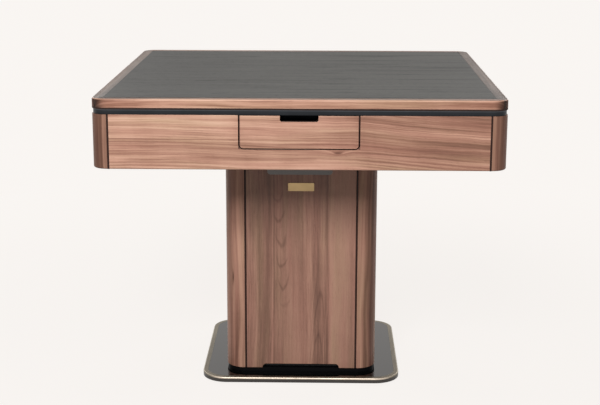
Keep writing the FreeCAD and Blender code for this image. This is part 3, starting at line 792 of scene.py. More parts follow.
@dataclass(frozen=True)
class DarkVeneer:
    """Open-grain dark grey veneer of the dining cover."""

    name: str
    streak_wide: float = 0.0085
    left_shade: float = 0.17
    streaks: tuple[Streak, ...] = ()

    def material(self) -> bpy.types.Material:
        """Builds fine flecks and streaks that run from left to right.

        Returns:
            The material.
        """
        paint = Paint.named(self.name)
        x, y, z = paint.parts(paint.placed())
        slow = paint.waves(Waves(1.6, 7.0, 1.0), x, y, z)
        line = y + (slow - 0.5) * 0.03
        streaks = paint.waves(Waves(4.0, 60.0, 1.0, 2.0, 0.6), x, line, z)
        pores = paint.eased(paint.waves(Waves(60.0, 620.0, 1.0, 2.0, 0.6), x, line, z), 0.56, 0.70)
        cloud = paint.waves(Waves(2.5, 4.0, 1.0), x, y, z)
        vein = paint.waves(Waves(2.4, 38.0, 1.0, 1.5), x, line, z, 7.0)
        veins = paint.eased(vein, 0.52, 0.68) * paint.eased(x, -0.20, 0.10, 0.35, 1.0)
        tone = (streaks - 0.5) * 0.36 + (cloud - 0.5) * 0.18 - pores * 0.16 - veins * 0.26 + 0.56
        tone = tone - paint.eased(x, -0.45, -0.05, self.left_shade, 0.0)
        bend = (paint.waves(Waves(16.0, 9.0, 1.0, 1.5), x, y, z) - 0.5) * 0.02
        broken = paint.eased(paint.waves(Waves(9.0, 240.0, 1.0), x, line, z, 3.0), 0.36, 0.60, 0.25, 1.5)
        for streak in self.streaks:
            reach = ((x - streak.x) / (streak.half * 1.9)) ** 2.0
            reach = reach + ((y + bend - streak.y) / self.streak_wide) ** 2.0
            tone = tone - paint.eased(reach, 0.0, 1.0, streak.dark * 1.5, 0.0) * broken
        stops = (
            (0.0, (0.008, 0.008, 0.008)),
            (0.5, (0.064, 0.064, 0.060)),
            (1.0, (0.135, 0.134, 0.125)),
        )
        return paint.shaded(
            Base_Color=paint.ramp(tone, stops),
            Roughness=pores * 0.1 + 0.61,
            Specular_IOR_Level=0.22,
            Normal=paint.bump(streaks * 0.5 - pores, 0.00020, 0.8),
        )


@dataclass(frozen=True)
class Metal:
    """Bare, polished, brushed or anodised metal."""

    name: str
    colour: Colour
    rough: float
    brushed: float = 0.0
    stretch: Point = (4.0, 60.0, 400.0)
    wear: float = 0.1
    heights: tuple[tuple[float, float], ...] = ()  # each height, and the share of the colour there

    def material(self) -> bpy.types.Material:
        """Builds the brushing, smudges and light wear.

        Returns:
            The material.
        """
        paint = Paint.named(self.name)
        place = paint.placed()
        x, y, z = paint.parts(place)
        across, into, up = self.stretch
        brush = paint.noise(paint.joined(x * across, y * into, z * up), 8.0)
        smudge = paint.noise(place, 14.0, 3.0, 0.6)
        colour = paint.blend(paint.eased(smudge, 0.35, 0.7), self.colour, toned(self.colour, 0.8))
        if self.heights:
            low, high = self.heights[0][0], self.heights[-1][0]
            stops = tuple(((at - low) / (high - low), (share,) * 3) for at, share in self.heights)
            shares = paint.ramp((z - low) / (high - low), stops)
            colour = paint.blend(1.0, colour, shares, "MULTIPLY")
        return paint.shaded(
            Base_Color=colour,
            Metallic=1.0,
            Roughness=(brush - 0.5) * self.brushed + (smudge - 0.5) * self.wear + self.rough,
            Normal=paint.bump(brush, 0.00004, self.brushed),
        )


@dataclass(frozen=True)
class DullTopMetal:
    """Metal strip, brighter on its front and back faces and darker on top and at the sides: painted
    highlight and shade.
    """

    name: str
    # face is the painted highlight colour of the front and back faces, top the painted shade colour of the
    # top and side faces.
    face: Colour
    top: Colour

    def material(self) -> bpy.types.Material:
        """Builds the painted highlight and shade with light smudges.

        Returns:
            The material.
        """
        paint = Paint.named(self.name)
        sideways, _, upward = paint.parts(paint.add("ShaderNodeTexCoord").outputs["Normal"])
        lying = paint.eased(upward, 0.72, 0.97)
        side_shade = paint.eased(abs(sideways), 0.30, 0.75)
        smudge = paint.noise(paint.placed(), 14.0, 3.0, 0.6)
        # Painted shade on the top and side faces, painted highlight on the front and back faces.
        colour = paint.blend(side_shade + lying - side_shade * lying, self.face, self.top)
        darker = paint.blend(1.0, colour, (0.8, 0.8, 0.8), "MULTIPLY")
        return paint.shaded(
            Base_Color=paint.blend(paint.eased(smudge, 0.35, 0.75), colour, darker),
            Metallic=1.0,
            Roughness=(smudge - 0.5) * 0.06 + 0.48,
            Normal=paint.bump(paint.noise(paint.placed(), 60.0, 2.0), 0.00001, 0.15),
        )


@dataclass(frozen=True)
class Coating:
    """Painted, powder-coated or moulded surface with a fine texture."""

    name: str
    colour: Colour
    rough: float
    peel: float = 900.0
    depth: float = 0.00005
    dust: float = 0.08
    spec: float = 0.5
    metallic: float = 0.0

    def material(self) -> bpy.types.Material:
        """Builds the texture, with a little dust and slow changes of shade.

        Returns:
            The material.
        """
        paint = Paint.named(self.name)
        place = paint.placed()
        grit = paint.noise(place, self.peel, 1.5)
        cloud = paint.noise(place, 6.0, 3.0)
        scuff = paint.eased(paint.noise(place, 38.0, 4.0, 0.7), 0.60, 0.78)
        base = paint.blend(paint.eased(cloud, 0.3, 0.7), toned(self.colour, 0.85), self.colour)
        return paint.shaded(
            Base_Color=paint.blend(scuff * self.dust, base, toned(self.colour, 1.3, 0.01)),
            Roughness=(cloud - 0.5) * 0.12 + (scuff * 0.08 + self.rough),
            Metallic=self.metallic,
            Specular_IOR_Level=self.spec,
            Normal=paint.bump(grit, self.depth, 0.6),
        )


@dataclass(frozen=True)
class Gloss:
    """Deep gloss: black glass, lacquer or polished plastic."""

    name: str
    colour: Colour
    rough: float = 0.05

    def material(self) -> bpy.types.Material:
        """Builds the gloss, with faint wiping marks and dust.

        Returns:
            The material.
        """
        paint = Paint.named(self.name)
        place = paint.placed()
        wipe = paint.noise(place, 11.0, 4.0, 0.6)
        dust = paint.eased(paint.noise(place, 160.0, 2.0), 0.66, 0.80)
        return paint.shaded(
            Base_Color=paint.blend(dust * 0.25, self.colour, toned(self.colour, 1.0, 0.03)),
            Roughness=paint.eased(wipe, 0.4, 0.75, self.rough, self.rough + 0.05),
            Normal=paint.bump(paint.noise(place, 45.0, 1.0), 0.00003, 0.3),
        )


@dataclass(frozen=True)
class Weave:
    """Flat woven play cloth."""

    name: str
    colour: Colour
    threads: float = 700.0

    def material(self) -> bpy.types.Material:
        """Builds crossing threads with a soft nap.

        Returns:
            The material.
        """
        paint = Paint.named(self.name)
        place = paint.placed()
        x, y, _ = paint.parts(place)
        turn = 2.0 * math.pi * self.threads
        warp = (x * turn).sine() * 0.5 + 0.5
        weft = (y * turn).sine() * 0.5 + 0.5
        over = (x * (turn / 2)).sine() * (y * (turn / 2)).sine() > 0.0
        thread = over * warp + (1.0 - over) * weft
        nap = paint.noise(place, 900.0, 2.0)
        cloud = paint.noise(place, 7.0, 3.0)
        base = paint.blend(
            thread * 0.6 + (nap - 0.5) * 0.4, toned(self.colour, 0.55), toned(self.colour, 1.25, 0.01)
        )
        return paint.shaded(
            Base_Color=paint.blend((cloud - 0.5) * 0.5 + 0.3, base, self.colour),
            Roughness=0.93,
            Specular_IOR_Level=0.2,
            Sheen_Weight=0.25,
            Sheen_Roughness=0.4,
            Normal=paint.bump(thread + nap * 0.3, 0.0002, 0.6),
        )


@dataclass(frozen=True)
class Clear:
    """Clear moulded plastic."""

    name: str

    def material(self) -> bpy.types.Material:
        """Builds a smoked clear shell with faint scratches.

        Returns:
            The material.
        """
        paint = Paint.named(self.name)
        place = paint.placed()
        scratch = paint.eased(paint.noise(place, 420.0, 2.0), 0.62, 0.72)
        return paint.shaded(
            Base_Color=(0.82, 0.85, 0.86),
            Roughness=scratch * 0.08 + 0.03,
            IOR=1.49,
            Transmission_Weight=1.0,
            Normal=paint.bump(paint.noise(place, 60.0, 1.0), 0.00002, 0.2),
        )


Finish = Union[Walnut, DarkVeneer, Metal, DullTopMetal, Coating, Gloss, Weave, Clear]


# ---- pieces


@lru_cache(maxsize=None)
def material_of(finish: Finish) -> bpy.types.Material:
    """The finish's material, made once."""
    return finish.material()


def merged(node: str) -> bmesh.types.BMesh:
    """A copy of a CAD node with its loose triangles joined into whole faces.

    Args:
        node: The node's name.

    Returns:
        The new mesh.
    """
    shape = bmesh.new()
    shape.from_mesh(frame["nodes"][node].data)
    bmesh.ops.remove_doubles(shape, verts=shape.verts, dist=WELD)
    bmesh.ops.dissolve_limit(shape, angle_limit=FLAT, verts=shape.verts, edges=shape.edges)
    return shape


def ease_edges(shape: bmesh.types.BMesh, width: float, segments: int = 2, mitred: bool = False) -> None:
    """Rounds every sharp edge of a mesh.

    Args:
        shape: The mesh.
        width: Radius of the rounding.
        segments: Steps around it.
        mitred: Whether edges on the diagonals are tight joints, and stay sharp.
    """
    edges = [
        edge
        for edge in shape.edges
        if len(edge.link_faces) == 2
        and edge.calc_face_angle() > SHARP
        and not (mitred and all(abs(abs(v.co.x) - abs(v.co.y)) < ON_DIAGONAL for v in edge.verts))
    ]
    bmesh.ops.bevel(
        shape,
        geom=edges,
        offset=width,
        offset_type="OFFSET",
        segments=segments,
        profile=0.5,
        affect="EDGES",
        clamp_overlap=True,
        material=-1,
    )


def linked(name: str, data: bpy.types.ID) -> bpy.types.Object:
    """A new object of some data, in the scene.

    Args:
        name: The object's name.
        data: Its mesh, light or camera.

    Returns:
        The object.
    """
    made = bpy.data.objects.new(name, data)
    bpy.context.scene.collection.objects.link(made)
    return made


def meshed(name: str, shape: bmesh.types.BMesh) -> bpy.types.Object:
    """A new object of a mesh that is in place; the shape is freed.

    Args:
        name: The object's name.
        shape: The mesh, in place.

    Returns:
        The object.
    """
    mesh = bpy.data.meshes.new(name)
    shape.to_mesh(mesh)
    shape.free()
    return linked(name, mesh)


def piece(
    name: str, shape: bmesh.types.BMesh, finish: Finish, node: str, replaces: bool = True
) -> bpy.types.Object:
    """Makes a finished piece of a mesh and sets it on its body.

    Args:
        name: The piece's name.
        shape: Its mesh, in place; it is freed.
        finish: Its finish.
        node: The CAD node whose body it takes.
        replaces: Whether it stands for that node.

    Returns:
        The piece's object.
    """
    made = meshed(name, shape)
    made.data.shade_smooth()
    made.data.set_sharp_from_angle(angle=SHARP)
    made.data.materials.append(material_of(finish))
    made.modifiers.new("flat_faces", "WEIGHTED_NORMAL").keep_sharp = True
    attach(made, BODY_OF[node])
    if replaces:
        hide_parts(node)
    log.info("%s on %s", name, BODY_OF[node])
    return made


def boxed(shape: bmesh.types.BMesh, middle: Sequence[float], size: Sequence[float]) -> None:
    """Adds a box to a mesh.

    Args:
        shape: The mesh.
        middle: The box's middle.
        size: Its size along each axis.
    """
    place = Matrix.Translation(middle) @ Matrix.Diagonal((*size, 1.0))
    bmesh.ops.create_cube(shape, size=1.0, matrix=place)


def spun(profile: Sequence[tuple[float, float]], steps: int = 64) -> bmesh.types.BMesh:
    """A closed round shape.

    Args:
        profile: Radius and height of each point, from the axis below to the axis above.
        steps: Steps around it.

    Returns:
        The new mesh, about the Z axis.
    """
    shape = bmesh.new()
    verts = [shape.verts.new((radius, 0.0, height)) for radius, height in profile]
    edges = [shape.edges.new(pair) for pair in zip(verts, verts[1:])]
    bmesh.ops.spin(
        shape,
        geom=[*verts, *edges],
        cent=(0.0, 0.0, 0.0),
        axis=(0.0, 0.0, 1.0),
        angle=math.tau,
        steps=steps,
        use_merge=True,
    )
    bmesh.ops.remove_doubles(shape, verts=shape.verts, dist=WELD)
    bmesh.ops.recalc_face_normals(shape, faces=shape.faces)
    return shape


def softened(node: str, finish: Finish, width: float, segments: int = 2, mitred: bool = False) -> None:
    """Stands for a CAD node with its edges rounded.

    Args:
        node: The node's name.
        finish: Its finish.
        width: Radius of the rounding.
        segments: Steps around it.
        mitred: Whether its joints on the diagonals stay tight.
    """
    shape = merged(node)
    ease_edges(shape, width, segments, mitred)
    piece(f"{node}_eased", shape, finish, node)


def dressed(node: str, finish: Finish) -> None:
    """Gives a CAD node its finish as it is.

    Args:
        node: The node's name.
        finish: Its finish.
    """
    materials = frame["nodes"][node].data.materials
    materials.clear()
    materials.append(material_of(finish))
    log.info("%s as built", node)


# ---- this table's finishes

# How far below the rim's top, and the share of its colour there: painted shade in the slot, a painted
# highlight at the arris.
RIM_LIGHT_AND_SHADE = ((0.0135, 0.12), (0.0120, 0.85), (0.0065, 1.0), (0.0030, 1.1), (0.0015, 2.6))
RIM_METAL = Metal(
    "gunmetal_anodised",
    (0.030, 0.033, 0.037),
    0.34,
    0.10,
    heights=tuple((RIM_TOP - below, share) for below, share in RIM_LIGHT_AND_SHADE),
)
# Front and back faces carry a painted highlight, top and sides a painted shade.
CHAMPAGNE = DullTopMetal("champagne_trim", (0.62, 0.535, 0.44), (0.215, 0.192, 0.150))
BRASS = Metal("nameplate_brass", (0.42, 0.295, 0.150), 0.34, 0.22, (3.0, 3.0, 260.0))
ZINC = Metal("zinc_plate", (0.60, 0.60, 0.58), 0.32, 0.15)
STEEL_GREY = Coating("grey_powder", (0.215, 0.200, 0.192), 0.45, 700.0, 0.00008)
BLACK_POWDER = Coating("black_powder", (0.030, 0.030, 0.031), 0.5, 700.0, 0.00008)
BLACK_ENAMEL = Coating("black_enamel", (0.0025, 0.0025, 0.0030), 0.5, 300.0, 0.00003, 0.02, 0.06)
SLAB_ENAMEL = Coating("slab_enamel", (0.030, 0.025, 0.022), 0.38, 300.0, 0.00003)
BLACK_STRIP = Coating("black_strip", (0.026, 0.011, 0.0085), 0.40, 500.0, 0.00003, spec=0.15)
BLACK_BOARD = Coating("black_board", (0.030, 0.017, 0.014), 0.6, 420.0, 0.00006, 0.04, 0.15)
BLACK_MOULD = Coating("black_moulding", (0.026, 0.026, 0.028), 0.48, 1400.0, 0.00008)
GREY_MOULD = Coating("grey_moulding", (0.46, 0.46, 0.44), 0.42, 1100.0, 0.00006)
RUBBER = Coating("rubber", (0.020, 0.020, 0.020), 0.85, 1300.0, 0.00012, 0.2)
LIFT_ALLOY = Coating("cast_alloy", (0.52, 0.52, 0.52), 0.42, 520.0, 0.00012, 0.1, 0.5, 0.9)
BLACK_GLOSS = Gloss("black_gloss", (0.0016, 0.0018, 0.0018), 0.02)
IVORY = Gloss("ivory", (0.80, 0.76, 0.66), 0.16)
ROCKER_RED = Gloss("rocker_red", (0.36, 0.016, 0.012), 0.2)
BUTTON_GREY = Gloss("button_grey", (0.42, 0.42, 0.44), 0.18)
PIP_BLACK = Gloss("pip_black", (0.012, 0.012, 0.013), 0.3)
PIP_RED = Gloss("pip_red", (0.42, 0.018, 0.014), 0.3)
CLOTH = Weave("play_cloth_green", (0.030, 0.150, 0.115))
CLEAR = Clear("clear_dome")
DARK_TOP = DarkVeneer(
    "dark_top_veneer",
    streaks=(
        Streak(-0.420, 0.329, 0.030, 0.22),
        Streak(-0.164, 0.339, 0.030, 0.24),
        Streak(-0.332, 0.088, 0.016, 0.15),
        Streak(-0.250, -0.179, 0.018, 0.30),
        Streak(-0.188, -0.169, 0.014, 0.20),
        Streak(-0.445, -0.159, 0.022, 0.15),
        Streak(-0.200, -0.398, 0.015, 0.20),
        Streak(-0.392, -0.388, 0.016, 0.13),
        Streak(0.125, 0.359, 0.045, 0.20),
        Streak(0.239, 0.351, 0.055, 0.28),
        Streak(0.061, 0.102, 0.042, 0.28),
        Streak(0.380, 0.114, 0.150, 0.24),
        Streak(0.069, -0.023, 0.026, 0.20),
        Streak(0.105, -0.140, 0.028, 0.30),
        Streak(0.380, -0.140, 0.095, 0.26),
        Streak(0.117, -0.378, 0.022, 0.28),
        Streak(0.335, -0.347, 0.026, 0.16),
        Streak(0.084, -0.233, 0.032, 0.18),
        Streak(-0.057, -0.309, 0.042, 0.13),
    ),
)


# Darker walnut for the pedestal: in part its own tone, in part painted shade for the light that the table
# top keeps from it.
PEDESTAL_SHADED_STOPS = (
    (0.12, (0.095, 0.045, 0.031)),
    (0.36, (0.195, 0.098, 0.068)),
    (0.55, (0.315, 0.168, 0.120)),
    (0.85, (0.500, 0.290, 0.208)),
)
# Darker walnut for the apron's corner posts: in part its own tone, in part painted shade for their round
# faces turning from the light.
POST_SHADED_STOPS = (
    (0.12, (0.060, 0.026, 0.018)),
    (0.36, (0.110, 0.052, 0.035)),
    (0.55, (0.172, 0.087, 0.060)),
    (0.85, (0.300, 0.165, 0.115)),
)


def apron_walnut(side: Side) -> Walnut:
    """The level sheet that covers one side's apron and its drawer front.

    Args:
        side: The side.

    Returns:
        Its veneer.
    """
    return Walnut(
        f"walnut_apron_{side.word}",
        Grain.LEVEL,
        turn=side.value,
        seed=side.seed,
        figure=Figure(0.55, 0.50, 0.80, 0.16, 96.0, 1.5, 3.6),
        slope=Slope(0.02, 0.24, 0.19, start=0.13, rise=0.085),
        cut_edge=SHADE_SOFT - TABLE_HALF,
        joint_at=DRAWER_HALF + HALF_JOINT,
        mirrored=side.way,
        strips=(
            Strip(0.7135, 0.0003, 0.0016, -0.26, end=-0.16),
            Strip(0.690, 0.010, 0.018, -0.04, end=-0.10),
            Strip(0.664, 0.003, 0.008, -0.09, start=-0.40, end=0.02),
            Strip(DRAWER_MIDDLE, 0.038, 0.006, -0.04, start=-DRAWER_HALF, end=DRAWER_HALF),
            Strip(0.672, 0.016, 0.010, -0.035, start=-0.02, end=0.16),
        ),
        knots=(Knot(0.093, 0.683, 0.020, 0.007, 0.012, 0.34),),
    )


def pedestal_walnut(side: Side) -> Walnut:
    """The upright sheet that covers one side of the pedestal.

    Args:
        side: The side.

    Returns:
        Its veneer.
    """
    return Walnut(
        f"walnut_pedestal_{side.word}",
        Grain.UPRIGHT,
        turn=side.value,
        seed=side.seed + 11.0,
        stops=PEDESTAL_SHADED_STOPS,
        figure=Figure(0.40, 0.50, 0.42, 0.08, 50.0, 1.8),
        burnish=0.13,
        shade=0.060,
        mirrored=side.way,
        strips=(
            Strip(-0.100, 0.013, 0.010, -0.15),
            Strip(-0.078, 0.0008, 0.0016, 0.07),
            Strip(-0.073, 0.0008, 0.0020, -0.10),
            Strip(-0.018, 0.018, 0.020, 0.03),
            Strip(0.019, 0.0105, 0.004, 0.09),
            Strip(0.052, 0.014, 0.012, -0.09),
            Strip(0.069, 0.002, 0.006, -0.12),
            Strip(0.116, 0.0370, 0.0008, 0.05),
            # Painted shadow of the lift motor cover above.
            Strip(-0.010, 0.078, 0.022, -0.09, start=0.545),
        ),
        calm=(Strip(0.116, 0.0370, 0.0008, 0.55), Strip(-0.018, 0.018, 0.014, 0.45)),
        arches=(
            Arches(-0.030, 0.019, 115.0, 0.060, 0.15, 0.21, 0.52, -0.060),
            Arches(0.043, 0.040, -520.0, 0.110, 0.13, 0.0, 0.27, 0.04, 7.0),
        ),
    )


APRON_POST_WALNUT = Walnut(
    "walnut_apron_posts",
    Grain.POSTS,
    seed=5.0,
    stops=POST_SHADED_STOPS,
    figure=Figure(0.8, 0.7, 0.35, 0.10, 75.0, 1.6),
    gloss=0.15,
    shade=-0.10,
    strips=(
        # Painted highlight next to both seams of each post.
        Strip(-0.0345, 0.0035, 0.004, 0.26),
        Strip(0.0345, 0.0035, 0.004, 0.26),
        Strip(-0.0230, 0.0020, 0.004, -0.08),
        # Painted shade round the middle of each post, where it turns from the light.
        Strip(0.0, 0.008, 0.012, -0.18),
    ),
)
POST_WALNUT = Walnut(
    "walnut_posts",
    Grain.POSTS,
    seed=9.0,
    stops=PEDESTAL_SHADED_STOPS,
    figure=Figure(0.9, 0.85, 0.30, 0.08, 60.0, 2.2),
    burnish=0.12,
    shade=0.05,
    wander=0.03,
    gloss=0.18,
    strips=(
        Strip(-0.0340, 0.0040, 0.006, 0.08),
        Strip(-0.008, 0.014, 0.012, -0.16),
    ),
    knots=(Knot(0.282, -0.010, 0.030, 0.007, 0.010, 0.42, 0),),
)
# The rails' dark line lies this far around their upper edge.
RAIL_LINE = 0.0054
RAIL_WALNUT = Walnut(
    "walnut_rails",
    Grain.RAILS,
    seed=23.0,
    figure=Figure(0.55, 0.55, 0.75, 0.14, 90.0, 1.8, 3.6),
    stained_top=0.90,
    worn_arris=0.26,
    dark_ends=0.82,
    gloss=0.20,
    end_shade=0.20,
    strips=(Strip(TABLE_HALF + TABLE_TOP - RAIL_LINE, 0.0005, 0.0016, -0.15),),
    shade=0.07,
    slope=Slope(-0.15, 0.25, 0.07),
)


# ---- sub-assemblies


@dataclass
class Base:
    """Rubber pad, steel slab, metal trim, gloss top and plinth."""

    slab_edge: float = 0.0008
    trim_edge: float = 0.0003
    plinth_edge: float = 0.0008

    def build(self) -> None:
        """Makes the base."""
        dressed("base_pad", RUBBER)
        softened("base_plate", SLAB_ENAMEL, self.slab_edge)
        softened("base_trim", CHAMPAGNE, self.trim_edge)
        softened("base_top_panel", BLACK_GLOSS, self.trim_edge)
        softened("pedestal_plinth", BLACK_ENAMEL, self.plinth_edge)


@dataclass
class Pedestal:
    """Veneered pedestal around its steel frame."""

    panel_edge: float = 0.0009
    post_edge: float = 0.0009
    strip_edge: float = 0.0003
    plate_edge: float = 0.0003

    def build(self) -> None:
        """Makes the pedestal, from the frame out."""
        dressed("pedestal_frame", BLACK_POWDER)
        dressed("frame_bolts", ZINC)
        dressed("control_box", BLACK_POWDER)
        for side in Side:
            softened(f"pedestal_panel_{side.word}", pedestal_walnut(side), self.panel_edge)
        softened("pedestal_posts", POST_WALNUT, self.post_edge)
        softened("pedestal_seam_strips", BLACK_STRIP, self.strip_edge)
        softened("nameplate", BRASS, self.plate_edge)


@dataclass
class Electrics:
    """Mains inlet with its rocker switch."""

    inlet_edge: float = 0.0006
    rocker_dip: float = 0.0008
    rocker_edge: float = 0.0009
    mark_high: float = 0.0040
    mark_thick: float = 0.0008
    mark_proud: float = 0.00012
    ring_radius: float = 0.0016
    ring_thick: float = 0.00064
    ring_steps: int = 32
    socket_left: float = 0.0130
    pin_size: Point = (0.0020, 0.0110, 0.0040)
    pin_edge: float = 0.0004
    pin_apart: float = 0.0070
    pin_back: float = 0.0095
    pin_rises: Point = (-0.00140, 0.00245, -0.00140)

    def build(self) -> None:
        """Makes the inlet and the switch."""
        softened("power_inlet", BLACK_MOULD, self.inlet_edge)
        self.pins()
        self.rocker()

    def pins(self) -> None:
        """Sets the three blades of the inlet, the middle one higher."""
        shape = bmesh.new()
        low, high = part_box("power_inlet")
        middle = (low[2] + high[2]) / 2
        for across, rise in enumerate(self.pin_rises, -1):
            x = across * self.pin_apart - self.socket_left
            boxed(shape, (x, high[1] - self.pin_back, middle + rise), self.pin_size)
        ease_edges(shape, self.pin_edge)
        piece("inlet_pins", shape, ZINC, "frame_bolts", replaces=False)

    def rocker(self) -> None:
        """Makes the rocker with a shallow valley across its middle."""
        low, high = (Vector(corner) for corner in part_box("power_switch"))
        middle = (low + high) / 2
        shape = bmesh.new()
        boxed(shape, middle, high - low)
        solid = [*shape.verts, *shape.edges, *shape.faces]
        bmesh.ops.bisect_plane(shape, geom=solid, plane_co=middle, plane_no=(0, 0, 1))
        for vert in shape.verts:
            if abs(vert.co.z - middle.z) < WELD and vert.co.y > middle.y:
                vert.co.y -= self.rocker_dip
        ease_edges(shape, self.rocker_edge, 3)
        face = BVHTree.FromBMesh(shape)
        piece("power_switch_rocker", shape, ROCKER_RED, "power_switch")
        self.marks(face, low, high)

    def marks(self, face: BVHTree, low: Vector, high: Vector) -> None:
        """Lays a bar and a ring on the two halves of the rocker.

        Args:
            face: The rocker's surface.
            low: The low corner of its box.
            high: The high corner of its box.
        """
        shape = bmesh.new()
        middle, size = (low + high) / 2, high - low
        upper, lower = (
            Matrix.Translation((middle.x, high.y, middle.z + way * size.z / 4))
            @ Matrix.Rotation(math.pi / 2, 4, "X")
            for way in (1, -1)
        )
        bar = Matrix.Diagonal((self.mark_thick, self.mark_high, 1.0, 1.0))
        bmesh.ops.create_grid(shape, x_segments=1, y_segments=6, size=0.5, matrix=upper @ bar)
        steps, radius = self.ring_steps, self.ring_radius
        bmesh.ops.create_circle(shape, cap_ends=True, segments=steps, radius=radius, matrix=lower)
        disc = [each for each in shape.faces if len(each.verts) == steps]
        bmesh.ops.inset_region(
            shape, faces=disc, thickness=self.ring_thick, use_boundary=True, use_even_offset=True
        )
        bmesh.ops.delete(shape, geom=disc, context="FACES")
        for vert in shape.verts:
            start = Vector((vert.co.x, high.y + size.y, vert.co.z))
            vert.co.y = face.ray_cast(start, Vector((0.0, -1.0, 0.0)))[0].y + self.mark_proud
        bmesh.ops.solidify(shape, geom=shape.faces[:], thickness=self.mark_proud * 2)
        bmesh.ops.recalc_face_normals(shape, faces=shape.faces)
        piece("switch_marks", shape, IVORY, "power_switch", replaces=False)


@dataclass
class Apron:
    """Walnut apron boards, corner posts, the dark strips between them, and the rim."""

    board_edge: float = 0.0007
    post_edge: float = 0.0008
    strip_edge: float = 0.0002
    rim_edge: float = 0.0008

    def build(self) -> None:
        """Makes the apron."""
        for side in Side:
            softened(f"apron_panel_{side.word}", apron_walnut(side), self.board_edge)
        softened("apron_posts", APRON_POST_WALNUT, self.post_edge)
        softened("apron_seam_strips", BLACK_STRIP, self.strip_edge)
        softened("rim_rails", RIM_METAL, self.rim_edge)


@dataclass
class Drawers:
    """Four chip drawers on their runners."""

    front_edge: float = 0.0008
    box_edge: float = 0.0005

    def build(self) -> None:
        """Makes the drawers."""
        for side in Side:
            softened(f"drawer_front_{side.word}", apron_walnut(side), self.front_edge)
            softened(f"drawer_box_{side.word}", BLACK_MOULD, self.box_edge)
        dressed("drawer_runners", ZINC)


@dataclass
class Cover:
    """Lift-off dining cover."""

    rail_edge: float = 0.0004
    panel_edge: float = 0.0003
    board_edge: float = 0.0006

    def build(self) -> None:
        """Makes the cover."""
        softened("cover_rails", RAIL_WALNUT, self.rail_edge, mitred=True)
        softened("cover_panel", DARK_TOP, self.panel_edge)
        softened("cover_underboard", BLACK_BOARD, self.board_edge)
        softened("cover_cleats", RUBBER, self.board_edge)


@dataclass
class Machine:
    """Tile machine below the playing surface."""

    sheet_edge: float = 0.0005

    def build(self) -> None:
        """Makes the machine."""
        softened("lift_motor_covers", STEEL_GREY, self.sheet_edge)
        dressed("under_tray", STEEL_GREY)
        dressed("tile_lifts", LIFT_ALLOY)
        dressed("shuffle_drum", GREY_MOULD)
        dressed("turntable", GREY_MOULD)
        dressed("turntable_motor", BLACK_MOULD)
        dressed("console_column", ZINC)
        for side in Side:
            dressed(f"magnet_wheel_{side.word}", RUBBER)


@dataclass
class PlayingSurface:
    """Playing board with its cloth and the tile trays."""

    tray_edge: float = 0.0005
    cloth_roll: float = 0.0008
    cloth_wide: float = 0.911
    cloth_area: float = 0.7022

    def build(self) -> None:
        """Makes the playing surface."""
        dressed("play_board", BLACK_BOARD)
        self.cloth()
        softened("tile_trays", GREY_MOULD, self.tray_edge)

    def cloth(self) -> None:
        """Stretches the cloth over the board, its cut edges rolled down at every slot."""
        shape = merged("play_cloth")
        ease_edges(shape, self.cloth_roll, 4)
        made = piece("play_cloth_sheet", shape, CLOTH, "play_cloth")


# Each face of a die: which way it looks, and where its pips are.
FACE_OF: dict[int, Point] = {
    1: (0.0, 0.0, 1.0),
    6: (0.0, 0.0, -1.0),
    2: (0.0, -1.0, 0.0),
    5: (0.0, 1.0, 0.0),
    3: (1.0, 0.0, 0.0),
    4: (-1.0, 0.0, 0.0),
}
PAIR = ((-1.0, -1.0), (1.0, 1.0))
CORNERS = (*PAIR, (-1.0, 1.0), (1.0, -1.0))
PIPS_OF: dict[int, tuple[tuple[float, float], ...]] = {
    1: ((0.0, 0.0),),
    2: PAIR,
    3: (*PAIR, (0.0, 0.0)),
    4: CORNERS,
    5: (*CORNERS, (0.0, 0.0)),
    6: (*CORNERS, (-1.0, 0.0), (1.0, 0.0)),
}


